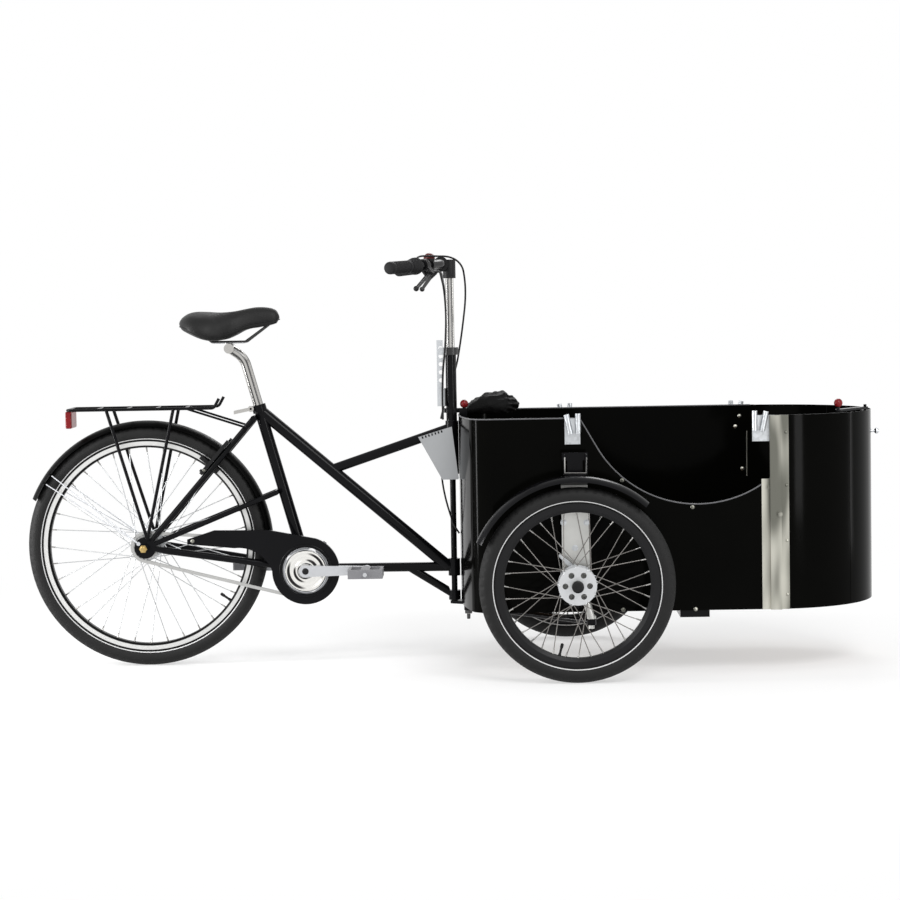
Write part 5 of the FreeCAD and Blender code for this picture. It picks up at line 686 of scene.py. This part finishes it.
def smooth_path(points, place):
    """Cubic arcs through a few rows of numbers, read at places from 0 to 1."""
    points = np.asarray(points, float)
    ends = np.concatenate([2 * points[:1] - points[1:2], points, 2 * points[-1:] - points[-2:-1]])
    place = np.asarray(place) * (len(points) - 1)
    cell = np.minimum(place.astype(int), len(points) - 2)
    return cubic(*(ends[cell + shift] for shift in range(4)), (place - cell)[:, None])


def closed_path(points, count):
    """Cubic arcs through a ring of points."""
    points = np.asarray(points, float)
    place = np.linspace(0, len(points), count, endpoint=False)
    cell = place.astype(int)
    ring = (points[(cell + shift) % len(points)] for shift in (-1, 0, 1, 2))
    return cubic(*ring, (place - cell)[:, None])


print("smooth curves ready")

# %% [markdown]
# ## Tyres
#
# A tyre is a rubber casing whose section is a circle arc, with a tread cut into its crown and a pale stripe
# near the rim. The tread could be a bump in the material, but then the outline would stay smooth. So the arc
# is turned about the axle, and zigzag grooves and shoulder slots are cut by a small loss of radius. An
# attribute runs from the crown to the bead and places the stripe.

# %% Tyre finish
STRIPE_EDGE = 0.006
STRIPE_GREY = 0.62
TYRE_TONES = (0.005, 0.011)
TYRE_ROUGH = (0.12, 0.55)
SIDE_RIBS = 190.0
SIDE_RIB_SHARE = 0.5


def tyre_finish(name, stripe):
    """Rubber with fine sidewall ribs and one pale reflective stripe near the bead."""
    shader, at = start(name)
    across = at.node("ShaderNodeAttribute", {}, out="Fac", attribute_name="across")
    low, high = stripe
    band = across.fade(low - STRIPE_EDGE, low) * (1 - across.fade(high, high + STRIPE_EDGE))
    tone = at.noise(scale=26.0)
    rubber = tone.mix(*(rgba(grey) for grey in TYRE_TONES))
    ribs = across.math("SINE", across * SIDE_RIBS, 0.0)
    relief = ribs * SIDE_RIB_SHARE + at.noise(scale=900.0, detail=2.0)
    finish(shader, {
        "Base Color": band.mix(rubber, rgba(STRIPE_GREY)),
        "Roughness": tone.spread(TYRE_ROUGH),
        "Specular IOR Level": SOFT_GLOSS,
        "Normal": relief.bump(depth=0.0004, strength=0.3)})


tyre_finish("tyre_rear", (0.885, 0.93))
tyre_finish("tyre_front", (0.86, 0.905))
print("tyre finishes ready")

# %% Tyre casings
HALF_TRACK = 0.41
REAR_RIM = 0.286
FRONT_RIM = 0.209
BEAD = 0.0129
BEAD_GAP = 0.001
FOOT_DEPTH = 0.005
REAR_BLOCKS = 84
FRONT_BLOCKS = 64
BLOCK_STEPS = 10
SECTION_STEPS = 65
GROOVE_DEPTH = 0.0014
ZIGZAG_PLACE = 0.24
ZIGZAG_SWING = 0.22
ZIGZAG_WIDTH = 0.06
SLOT_FROM = (0.42, 0.03)
SLOT_TO = (1.05, 0.04)
SLOT_SLANT = 0.04
SLOT_WIDTH = 0.12
SIDES = {"right": -1, "left": 1}
front_centres = {
    side: np.array([FRONT_AXLE_X, sign * HALF_TRACK, FRONT_RADIUS]) for side, sign in SIDES.items()}


def soft_step(value, middle, width):
    """From 0 to 1 about a middle: 1 / (1 + exp(-(value - middle) / width))."""
    return 1 / (1 + np.exp(-(value - middle) / width))


def tread(side, phase):
    """Depth of the grooves from 0 to 1: a zigzag beside the crown and slots across the shoulder."""
    zigzag = np.exp(-((side - ZIGZAG_PLACE - ZIGZAG_SWING * phase) / ZIGZAG_WIDTH) ** 2)
    window = soft_step(side, *SLOT_FROM) * (1 - soft_step(side, *SLOT_TO))
    slot = window * np.exp(-((phase - SLOT_SLANT * side) / SLOT_WIDTH) ** 2)
    return np.maximum(zigzag, slot)


def tyre(name, centre, radius, rim_radius, blocks, finish_name, body):
    """P(u, t) = centre + ((c + R cos t) cos u, R sin t, (c + R cos t) sin u), R less in the grooves."""
    neck = rim_radius + BEAD_GAP
    rise = radius - neck
    section = (rise ** 2 + BEAD ** 2) / (2 * rise)
    core = radius - section
    end = math.acos((neck - core) / section)
    u, t = np.meshgrid(
        circle_turns(blocks * BLOCK_STEPS), np.linspace(end, -end, SECTION_STEPS), indexing="ij")
    side = np.abs(t)
    step = blocks * u / (2 * np.pi)
    phase = np.abs(np.mod(step + np.where(t > 0, 0.0, 0.5), 1.0) - 0.5)
    loop = section - GROOVE_DEPTH * tread(side, phase)
    reach = core + loop * np.cos(t)
    points = np.stack([reach * np.cos(u), loop * np.sin(t), reach * np.sin(u)], axis=-1)
    low = (rim_radius - FOOT_DEPTH) / neck
    foot = np.array([low, 1.0, low])
    points = np.concatenate([points[:, :1] * foot, points, points[:, -1:] * foot], axis=1)
    share = np.concatenate([side[:, :1], side, side[:, -1:]], axis=1) / end
    return piece(name, points + centre, finish_name, body, slot="tyre_rubber", across=share)


made = tyre("rear_tyre_tread", REAR_AXLE, REAR_AXLE[2], REAR_RIM, REAR_BLOCKS, "tyre_rear", "rear_wheel")
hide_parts("rear_tyre")
for side, centre in front_centres.items():
    made = tyre(
        f"front_tyre_tread_{side}", centre, FRONT_RADIUS, FRONT_RIM, FRONT_BLOCKS, "tyre_front",
        f"front_wheel_{side}")
    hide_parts(f"front_tyre_{side}")
print("three tyres with tread")

# %% [markdown]
# ## Saddle
#
# The saddle is a padded skin over a shell, wide at the tail and narrow at the nose, with a welt along its
# lower edge. It could be sculpted, but then its size would be lost. A few stations give the width and the two
# heights along it, a soft section gives its shape across, and the ends are drawn in to a round. A short cloth
# simulation under light pressure then swells the skin by up to 3 mm, as padding does.

# %% Soft pieces
CLOTH_STEPS = 20
PRESSURE = 4.0
MILLIMETRES = 1000


def eased(count):
    """Places from 0 to 1 that crowd at both ends."""
    return (1 - np.cos(np.linspace(0, np.pi, count))) / 2


def rounded_ends(place, reach):
    """Size of a section along a soft piece: 1 inside, falling to 0 on a circle arc at both ends."""
    inside = np.minimum(np.minimum(place, 1 - place) / reach, 1.0)
    return np.sqrt(1 - (1 - inside) ** 2)


def evaluated(made):
    """The mesh of an object with its modifiers applied."""
    return bpy.data.meshes.new_from_object(made.evaluated_get(bpy.context.evaluated_depsgraph_get()))


def mesh_points(mesh):
    """The points of a mesh as rows of three numbers."""
    points = np.empty(len(mesh.vertices) * 3)
    mesh.vertices.foreach_get("co", points)
    return points.reshape(-1, 3)


def swell(made, voxel, reach):
    """A pad after 20 steps of cloth under light pressure, no point further than a reach from its start."""
    scene = bpy.context.scene
    remesh = made.modifiers.new("remesh", "REMESH")
    remesh.mode = "VOXEL"
    remesh.voxel_size = voxel
    plain = evaluated(made)
    made.modifiers.clear()
    made.data = plain
    start_points = mesh_points(plain)
    cloth = made.modifiers.new("cloth", "CLOTH")
    cloth.settings.use_pressure = True
    cloth.settings.uniform_pressure_force = PRESSURE
    cloth.settings.effector_weights.gravity = 0.0
    cloth.point_cache.frame_end = CLOTH_STEPS
    for step in range(1, CLOTH_STEPS + 1):
        scene.frame_set(step)
    shift = mesh_points(evaluated(made)) - start_points
    made.modifiers.clear()
    scene.frame_set(1)
    length = np.linalg.norm(shift, axis=1, keepdims=True)
    shift = shift * np.minimum(1, reach / np.maximum(length, JOIN))
    plain.vertices.foreach_set("co", (start_points + shift).ravel())
    plain.shade_smooth()
    smooth = made.modifiers.new("smooth", "SUBSURF")
    smooth.levels = 1
    smooth.render_levels = 1
    print(made.name, "moved by up to", round(float(length.max()) * MILLIMETRES, 1), "mm")


print("tools for soft pieces ready")

# %% Saddle
SADDLE_REAR = -0.73102
SADDLE_LENGTH = 0.276
SADDLE_WIDTH = 0.176
SADDLE_TOP = 0.95802
SADDLE_DEPTH = 0.078
SADDLE_ROUND = 0.05
DENT_WIDTH = 0.012
DENT_MIDDLE = 0.45
DENT_LENGTH = 0.25
DENT_DEPTH = 0.004
WELT_PLACES = (0.03, 0.97, 60)
WELT_INSET = 0.985
WELT_HEIGHT = 0.22
WELT_RADIUS = 0.0013
# Each station has a place along the saddle, a share of its width, and its lower and upper height.
saddle_stations = [
    (0.0, 0.42, 0.45, 0.72), (0.12, 0.92, 0.26, 0.95), (0.27, 1.0, 0.03, 0.97), (0.41, 0.82, 0.0, 0.95),
    (0.55, 0.54, 0.16, 0.99), (0.68, 0.38, 0.37, 1.06), (0.84, 0.29, 0.47, 1.12), (0.95, 0.23, 0.55, 1.06),
    (1.0, 0.15, 0.64, 0.88)]
# The section is a ring of points: share of the half width, and height between the lower and upper edge.
saddle_section = [
    (0.0, 1.0), (0.72, 0.8), (1.0, 0.35), (0.9, 0.0), (0.0, 0.12), (-0.9, 0.0), (-1.0, 0.35), (-0.72, 0.8)]


def saddle():
    """P(v, w) = station(v) + scale(v) section(w), less a shallow dent along the middle."""
    along, half, low, high = smooth_path(saddle_stations, eased(count=90)).T
    across, up = closed_path(saddle_section, count=72).T[:, :, None]
    scale = rounded_ends(along, SADDLE_ROUND)
    middle = (low + high) / 2
    y = SADDLE_WIDTH / 2 * half * across * scale
    height = middle + (low + (high - low) * up - middle) * scale
    dent = np.exp(-(y / DENT_WIDTH) ** 2) * np.exp(-((along - DENT_MIDDLE) / DENT_LENGTH) ** 2)
    z = SADDLE_TOP - SADDLE_DEPTH * (1 - height) - DENT_DEPTH * dent * (up > 0.5)
    x = np.broadcast_to(SADDLE_REAR + SADDLE_LENGTH * along, y.shape)
    return np.stack([x, y, z], axis=-1)[::-1]


def saddle_welt():
    """A tube along the lower edge, from the nose round the tail and back."""
    along, half, low, high = smooth_path(saddle_stations, np.linspace(*WELT_PLACES)).T
    y = SADDLE_WIDTH / 2 * half * rounded_ends(along, SADDLE_ROUND) * WELT_INSET
    z = SADDLE_TOP - SADDLE_DEPTH * (1 - low - (high - low) * WELT_HEIGHT)
    right = np.stack([SADDLE_REAR + SADDLE_LENGTH * along, -y, z], axis=-1)
    return tube(np.concatenate([right[::-1], right * FLIP]), WELT_RADIUS, count=8)


made = piece("saddle_cover", saddle(), "saddle_skin", "saddle")
swell(made, voxel=0.005, reach=0.003)
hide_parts("saddle")
piece("saddle_welt", saddle_welt(), "black_plastic", "saddle")
print("saddle cover with its welt")

# %% [markdown]
# ## Folded cover
#
# A rain cover lies rolled up on the rear rim of the box. Cloth that is dropped by a simulation would fall in
# another way after each change. So its lumpy outline comes from stations and a section, as for the saddle,
# and sharp ridges that run round it and slant across it stand for the layers and creases. Light pressure then
# rounds them by up to 2 mm.

# %% Folded cover
RIM_HEIGHT = 0.668
COVER_BACK = 0.02225
COVER_START = 0.032
COVER_SIZE = (0.165, 0.190, 0.052)
COVER_ROUND = 0.08
COVER_MIDDLE = (0.5, 0.4)
FOLD_HEIGHT = 0.22
FOLD_MEAN = 0.2
FORWARD_LIMIT = 1.04
CREASE_SHIFT = 0.004
COVER_CLEAR = 0.0004
cover_stations = [(0.0, 0.82, 0.7), (0.2, 0.97, 1.0), (0.45, 1.0, 0.88), (0.7, 0.95, 1.0), (1.0, 0.85, 0.66)]
cover_section = [
    (0.55, 1.0), (0.84, 0.88), (1.0, 0.42), (0.86, 0.02), (0.45, -0.06), (0.08, 0.02), (0.06, 0.16),
    (0.28, 0.66)]


def ridge(phase):
    """Sharp ridges and round valleys: 1 at each whole multiple of pi, 0 halfway between."""
    return 1 - np.abs(np.sin(phase))


def cover():
    """P(v, w) = station(v) + scale(v) section(w) + folds: layers by height and slanted creases."""
    long, wide, tall = COVER_SIZE
    along, length, height = smooth_path(cover_stations, eased(count=160)).T
    across, up = closed_path(cover_section, count=200).T[:, :, None]
    scale = rounded_ends(along, COVER_ROUND)
    mid_x, mid_z = COVER_MIDDLE
    turn = np.arctan2(up - mid_z, across - mid_x)
    layer = ridge(6 * turn + 9 * along + 1.5 * np.sin(5 * along))
    crease = ridge(13 * along - 2 * turn + 1.2 * np.sin(3 * turn))
    fold = 1 + scale * (FOLD_HEIGHT * layer + FOLD_HEIGHT * crease - FOLD_MEAN)
    x = COVER_BACK + long * (mid_x + (across * length - mid_x) * scale * np.minimum(fold, FORWARD_LIMIT))
    z = RIM_HEIGHT + tall * (mid_z + (up * height - mid_z) * scale * fold)
    y = np.broadcast_to(COVER_START + wide * along, x.shape) + CREASE_SHIFT * crease * scale
    return np.stack([x, y, np.maximum(z, RIM_HEIGHT + COVER_CLEAR)], axis=-1)


made = piece("folded_cover", cover(), "cover_fabric", "frame")
swell(made, voxel=0.003, reach=0.002)
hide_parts("cover_bundle")
print("folded cover")

# %% [markdown]
# ## Grips and shifter
#
# The grips are rubber sleeves with rings, and a conical twist shifter sits beside the right one. A bump would
# not show the rings in the outline, so they are turned: the profile is a radius along the bar, less a cosine
# for each ring.

# %% Grips and shifter
BAR_END = np.array([-0.14675, 0.320, 1.062])
BAR_KNEE = np.array([-0.07605, 0.190, 1.068])
GRIP_LENGTH = 0.1
GRIP_RADIUS = 0.0165
GRIP_HOLE = 0.012
RING_DEPTH = 0.0007
RING_PITCH = 0.0066
RINGS_FROM = 0.012
RINGS_TO = 0.09
END_ROUND = 0.002
SHIFTER_GAP = 0.002
SHIFTER_LENGTH = 0.036
SHIFTER_RIPPLE = 0.0006
SHIFTER_PITCH = 0.006
SHIFTER_CONE = ((0.0, 0.0267, SHIFTER_LENGTH), (GRIP_RADIUS, 0.0221, 0.0221))

grip_way = unit(BAR_KNEE - BAR_END)
s = np.linspace(0, GRIP_LENGTH, 120)
rings = RING_DEPTH * (1 - np.cos(2 * np.pi * s / RING_PITCH)) * (s > RINGS_FROM) * (s < RINGS_TO)
radius = GRIP_RADIUS - rings - END_ROUND * np.exp(-s / END_ROUND)
profile = np.concatenate(
    [[(-0.0020, 0.0), (-0.0019, 0.008)], np.stack([s, radius], -1), [(GRIP_LENGTH, GRIP_HOLE)]])
grip_points = lathe(BAR_END * BOTH_SIDES, grip_way * BOTH_SIDES, profile, count=48)
made = piece("ribbed_grips", grip_points, "grip_rubber", "steering")
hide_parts("grips")

s = np.linspace(0.0, SHIFTER_LENGTH, 60)
radius = np.interp(s, *SHIFTER_CONE) + SHIFTER_RIPPLE * np.sin(2 * np.pi * s / SHIFTER_PITCH)
profile = np.concatenate(
    [[(0.0, GRIP_HOLE)], np.stack([s, radius], -1), [(0.0395, GRIP_RADIUS), (0.040, GRIP_HOLE)]])
spot = (BAR_END + grip_way * (GRIP_LENGTH + SHIFTER_GAP)) * FLIP
barrel = lathe(spot, grip_way * FLIP, profile, count=40)
made = piece("shifter_barrel", barrel, "grip_rubber", "twist_shifter")
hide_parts("twist_shifter")
print("grips and shifter")

# %% [markdown]
# ## Knobs, caps and bell
#
# Red balls sit on the latch and on the column bracket, black caps on the front hubs and a small dome beside
# the stem. They are simple turned shapes, so each is one profile on the lathe.

# %% Knobs, caps and bell
KNOB = 0.0113
CAP_OUT = 0.035
COLUMN_KNOB = (0.03625, 0.0, 0.697)
LATCH_KNOB = (1.01187, -0.22222, 0.69333)
BELL_FOOT = (-0.0479, -0.125, 1.0875)
cap_profile = [(0.0, 0.0156), (0.0118, 0.0154), (0.0131, 0.0135), (0.0136, 0.009), (0.0137, 0.0)]
piece("column_knob", lathe(COLUMN_KNOB, UP, ball(KNOB)), "red_plastic", "frame")
piece("latch_knob", lathe(LATCH_KNOB, UP, ball(KNOB)), "red_plastic", "latch_lever")
for side, sign in SIDES.items():
    out = np.array([0, sign, 0])
    cap = lathe(front_centres[side] + CAP_OUT * out, out, cap_profile)
    piece(f"hub_cap_{side}", cap, "black_plastic", f"knuckle_{side}")
moulded("bell_red", (0.07, 0.010, 0.009), rough=0.2, grain=300.0, depth=0.0001)
bell = lathe(BELL_FOOT, UP, dome(radius=0.0155, height=0.0152, count=10))
piece("bell_dome", bell, "bell_red", "steering", slot="red_plastic")
print("two knobs, two caps and a bell")

# %% [markdown]
# ## Edge trim
#
# A thin grey trim covers the cut edge of the box. It draws the line that separates black outside from black
# inside, and its grey also paints the highlight that runs along that edge. A tube carried along that edge is
# enough, because the trim has the same section everywhere.

# %% Edge trim
HALF_WIDTH = 0.289
NOSE_X = 0.83825
SLOPE_TOP = 0.336
ENTRY_MIDDLE = (0.64025, 0.741)
ENTRY_RADIUS = 0.3
ENTRY_ANGLES = (-48.6, -150)
CORNER_MIDDLE = (0.1088, -0.230)
CORNER_RADIUS = 0.059
BACK_MIDDLE = (1.02025, 0.0)
BACK_RADIUS = 0.999
BACK_ANGLE = 14.2
TRIM_RADIUS = 0.0019


def arc(centre, radius, first, last, count):
    """Points on a circle between two angles in degrees."""
    turn = np.radians(np.linspace(first, last, count))
    return np.stack([centre[0] + radius * np.cos(turn), centre[1] + radius * np.sin(turn)], axis=-1)


def box_edge():
    """The upper edge of the bent sheet: entry arc, slope, right rim, back and left rim."""
    entry = arc(ENTRY_MIDDLE, ENTRY_RADIUS, *ENTRY_ANGLES, 60)
    slope = np.linspace(entry[-1], (SLOPE_TOP, RIM_HEIGHT), 8)[1:]
    right = np.concatenate([entry, slope])
    right = np.stack([right[:, 0], np.full(len(right), -HALF_WIDTH), right[:, 1]], axis=-1)
    flat = np.linspace((SLOPE_TOP, -HALF_WIDTH), (CORNER_MIDDLE[0], -HALF_WIDTH), 12)[1:]
    knee = arc(CORNER_MIDDLE, CORNER_RADIUS, -90, BACK_ANGLE - 180, 14)[1:]
    bow = arc(BACK_MIDDLE, BACK_RADIUS, BACK_ANGLE + 180, 180, 16)[1:]
    half = np.concatenate([flat, knee, bow])
    left = np.linspace((SLOPE_TOP, HALF_WIDTH), (NOSE_X, HALF_WIDTH), 12)
    plan = np.concatenate([half, half[-2::-1] * (1, -1), left])
    rim = np.concatenate([plan, np.full((len(plan), 1), RIM_HEIGHT)], axis=-1)
    return np.concatenate([right, rim])


# The trim's grey is partly its own colour and partly a painted highlight along the cut edge.
moulded("edge_trim_and_highlight", (0.10, 0.10, 0.105), rough=0.3, grain=500.0, depth=0.0001)
piece("edge_trim_and_highlight", tube(box_edge(), TRIM_RADIUS), "edge_trim_and_highlight", "frame", slot="guard_grey")
print("edge trim")

# %% [markdown]
# ## Rivets and bolts
#
# Rivets hold the sheet to its posts, and bolts hold the brakes and knuckles. Their places could be worked out
# from the solids, but the picture shows them directly. A ray from the camera through a point of the picture
# lands on the node that carries the head. The head is turned about the surface normal there, so that it sits
# on its carrier from any side.

# %% Rivets and bolts

def pick(node, pixels):
    """Landing points and outward normals of camera rays through picture points on one node."""
    turn = camera.matrix_world.to_3x3()
    hits = []
    for x, y in pixels:
        way = turn @ Vector((x - PICTURE / 2, PICTURE / 2 - y, -FOCAL_SHARE * PICTURE))
        found, spot, normal, _ = nodes[node].ray_cast(CAMERA_SPOT, way.normalized())
        if found:
            hits.append((*spot, *normal))
    hits = np.reshape(hits, (-1, 6))
    return hits[:, :3], hits[:, 3:]


def heads(name, node, pixels, profile, finish_name, body, twin=None):
    """Turned heads on a node, and their mirror images on a twin body where there is one."""
    spots, ways = pick(node, pixels)
    piece(name, lathe(spots, ways, profile, count=20), finish_name, body)
    if twin:
        piece(name + "_twin", lathe(spots * FLIP, ways * FLIP, profile, count=20), finish_name, twin)
    print(name, len(spots))


bpy.context.view_layer.update()
rivet = dome(radius=0.0058, height=0.003)
small_rivet = dome(radius=0.0042, height=0.0022)
bolt = [(0.0, 0.008), (0.0018, 0.008), (0.0018, 0.0055), (0.0058, 0.005), (0.0062, 0.0)]
heads("wall_rivets", "box_shell", [(622.2, 480.2), (692.6, 507.1), (623.4, 609.7), (695.7, 609.1)],
      rivet, "stainless", "frame", twin="frame")
heads("post_rivets", "box_posts", [(786, 432.1), (786.6, 485.1), (787.2, 540.5), (787.8, 594.4)],
      small_rivet, "stainless", "frame", twin="frame")
heads("post_bolts", "box_posts", [(769, 487.2), (779.6, 514.1)], bolt, "stainless", "frame", twin="frame")
heads("inner_rivets", "box_shell", [(739.2, 415.9), (735.2, 426.3), (742.2, 468.5), (760.3, 468.5)],
      rivet, "stainless", "frame")
heads("guard_rivet", "chain_guard", [(192.5, 541.2)], rivet, "stainless", "frame")
heads("brake_bolts", "rear_brake_right", [(223.3, 451.8), (209.8, 468.3), (229.0, 441.5), (204.0, 470.5)],
      small_rivet, "stainless", "rear_brake_right", twin="rear_brake_left")
heads("knuckle_bolts", "knuckle_right", [(563.5, 522.4), (586.5, 522.4), (575.0, 548.0)],
      bolt, "zinc", "knuckle_right", twin="knuckle_left")

# %% [markdown]
# ## Crank disc and guard lip
#
# A pressed chrome disc with a bolt in its middle covers the chainring, inside a raised lip of the guard. The
# disc turns with the crank, so a picked point is not exact enough for its centre. The picture gives only the
# depth of the carrier, and the joint of the record gives the axis.

# %% Crank disc and guard lip
LIP_RADIUS = 0.0680
LIP_WIDTH = 0.0042
LIP_HEIGHT = 0.0026
# The profile runs from the rim to the middle. Close points keep the dark bands of painted reflection on the
# disc narrow.
disc = [
    (0.0, 0.0565), (0.0020, 0.0560), (0.0040, 0.0540), (0.0042, 0.0520), (0.0032, 0.0492), (0.0022, 0.0466),
    (0.0012, 0.0440), (0.0006, 0.0420), (0.0006, 0.0380), (0.0012, 0.0335), (0.0022, 0.0308),
    (0.0034, 0.0280), (0.0042, 0.0255), (0.0042, 0.0225), (0.0030, 0.0205), (0.0006, 0.0185), (0.0006, 0.0)]
joints = record["behaviour"]["joints"]


def axle_head(name, node, pixel, profile, finish_name, body, slot=None):
    """A turned head about the axis of the crank, at the depth where a camera ray meets a node."""
    spots, ways = pick(node, [pixel])
    centre = np.array(next(joint["pos_m"] for joint in joints if joint["child"] == "crank"))
    centre[1] = spots[0, 1]
    piece(name, lathe(centre, (0, np.sign(ways[0, 1]), 0), profile, count=48), finish_name, body, slot=slot)
    print(name, "on the crank axis at depth", round(float(centre[1]), 4))


turn = np.linspace(0, np.pi, 13)
lip = np.stack([LIP_HEIGHT * np.sin(turn), LIP_RADIUS - LIP_WIDTH * np.cos(turn)], axis=-1)
# The disc's base colour carries bands of painted reflection, darker and brighter than on the other chrome.
chromed("disc_chrome", dark=0.02, light=(0.80, 0.79, 0.76))
bolt_head = dome(radius=0.009, height=0.003)
axle_head("crank_bolt", "crank_arms", (303.8, 572.4), bolt_head, "black_plastic", "crank")
axle_head("crank_disc", "crank_arms", (303.8, 583.0), disc, "disc_chrome", "crank", slot="chrome")
axle_head("guard_lip", "chain_guard", (303.8, 601.0), lip, "frame_black", "frame")

# %% [markdown]
# ## Nuts, wires and a strip
#
# Six-sided nuts end the studs of the steering and the rear axle. A hexagon is a lathe with six sides, so it
# needs no tool of its own. A bent wire holds each front fender, and a bright strip joins the sheets inside
# the box. Both are tubes along a few picked points.

# %% Nuts, wires and a strip
STUD_DROP = 0.0085
HEXAGON = 6
WIRE_RADIUS = 0.0024
WIRE_LIFT = 0.0012
STRIP_RADIUS = 0.0022
stud_nut = [
    (0.0, 0.0), (0.0, 0.0112), (0.0080, 0.0112), (0.0092, 0.0098), (0.0094, 0.0056), (0.0230, 0.0052),
    (0.0245, 0.0034), (0.0245, 0.0)]
axle_nut = [
    (0.0, 0.011), (0.002, 0.011), (0.002, 0.0085), (0.009, 0.0085), (0.010, 0.006), (0.015, 0.0055),
    (0.0155, 0.0)]
studs = np.array([joint["pos_m"] for joint in joints if joint["child"].startswith("tie_rod")])
piece("stud_nuts", lathe(studs - STUD_DROP * UP, -UP, stud_nut, HEXAGON), "chrome", "steering")
spots, ways = pick("front_fender_right", [(564.6, 458.0), (564.6, 473.4), (586.2, 473.4), (586.2, 458.0)])
wire = spots + ways * WIRE_LIFT
piece("fender_wire", tube(wire, WIRE_RADIUS), "chrome", "knuckle_right")
piece("fender_wire_twin", tube(wire * FLIP, WIRE_RADIUS), "chrome", "knuckle_left")
strip, _ = pick("box_shell", [(746.8, 431.0), (746.8, 455.0), (746.8, 476.0)])
piece("inner_strip", tube(strip, STRIP_RADIUS), "stainless", "frame")
metal("brass", (0.55, 0.40, 0.16), rough=0.2, grain=300.0)
spots, ways = pick("rear_stays", [(143.2, 549.1)])
axle_nuts = lathe(spots * BOTH_SIDES, ways * BOTH_SIDES, axle_nut, HEXAGON)
piece("axle_nuts", axle_nuts, "brass", "frame", slot="zinc")
print(len(studs), "stud nuts, two wires, a strip and two axle nuts")

# %% [markdown]
# ## Spoke nipples and valves
#
# Each spoke ends in a nipple that tightens it, and a valve stands on each rim. They are small, but they make
# a wheel look real. A nipple is turned about each spoke where it meets the rim, with the same lacing as the
# spokes of the solids: odd spokes to the left flange, every second pair laced forwards.

# %% Nipples and valves
SPOKES = 36
CROSSING = 0.00235
REAR_RIM_INNER = 0.267
FRONT_RIM_INNER = 0.186
REAR_VALVE = -35
FRONT_VALVE = -105
nipple_profile = [(-0.001, 0.0026), (0.003, 0.0024), (0.004, 0.0019), (0.013, 0.0018), (0.0135, 0.0)]
valve_profile = [
    (-0.002, 0.004), (0.004, 0.004), (0.006, 0.0032), (0.020, 0.0032), (0.021, 0.0042), (0.031, 0.0042),
    (0.033, 0.0)]


def nipples(centre, rim_inner, hole_radius, spread, lacing, sign):
    """One nipple on each spoke, from the rim's inner face towards its hole in the hub."""
    number = np.arange(SPOKES)
    side = np.where(number % 2, 1, -1)
    forward = np.where((number // 2) % 2, 1, -1)
    at_rim = np.radians(number * 360 / SPOKES)
    at_hub = at_rim + forward * math.radians(lacing)
    face = side * (spread / 2 + forward * CROSSING)
    hub = np.stack([hole_radius * np.cos(at_hub), face, hole_radius * np.sin(at_hub)], axis=-1)
    rim = np.stack([rim_inner * np.cos(at_rim), np.zeros(SPOKES), rim_inner * np.sin(at_rim)], axis=-1)
    flip = np.array([1, sign, 1])
    return lathe(centre + rim * flip, (hub - rim) * flip, nipple_profile, count=10)


def valve(centre, rim_inner, angle):
    """A valve stem with its cap, standing on the rim's inner face."""
    turn = math.radians(angle)
    out = np.array([math.cos(turn), 0.0, math.sin(turn)])
    return lathe(centre + out * rim_inner, -out, valve_profile, count=14)


rear_nipples = nipples(REAR_AXLE, REAR_RIM_INNER, hole_radius=0.0345, spread=0.056, lacing=58, sign=1)
piece("rear_nipples", rear_nipples, "chrome", "rear_wheel")
piece("rear_valve", valve(REAR_AXLE, REAR_RIM_INNER, REAR_VALVE), "black_plastic", "rear_wheel")
for side, sign in SIDES.items():
    centre = front_centres[side]
    wheel = f"front_wheel_{side}"
    front_nipples = nipples(
        centre, FRONT_RIM_INNER, hole_radius=0.0455, spread=0.046, lacing=40, sign=-sign)
    piece(f"front_nipples_{side}", front_nipples, "chrome", wheel)
    piece(f"front_valve_{side}", valve(centre, FRONT_RIM_INNER, FRONT_VALVE), "black_plastic", wheel)
print("nipples on", 3 * SPOKES, "spokes and three valves")
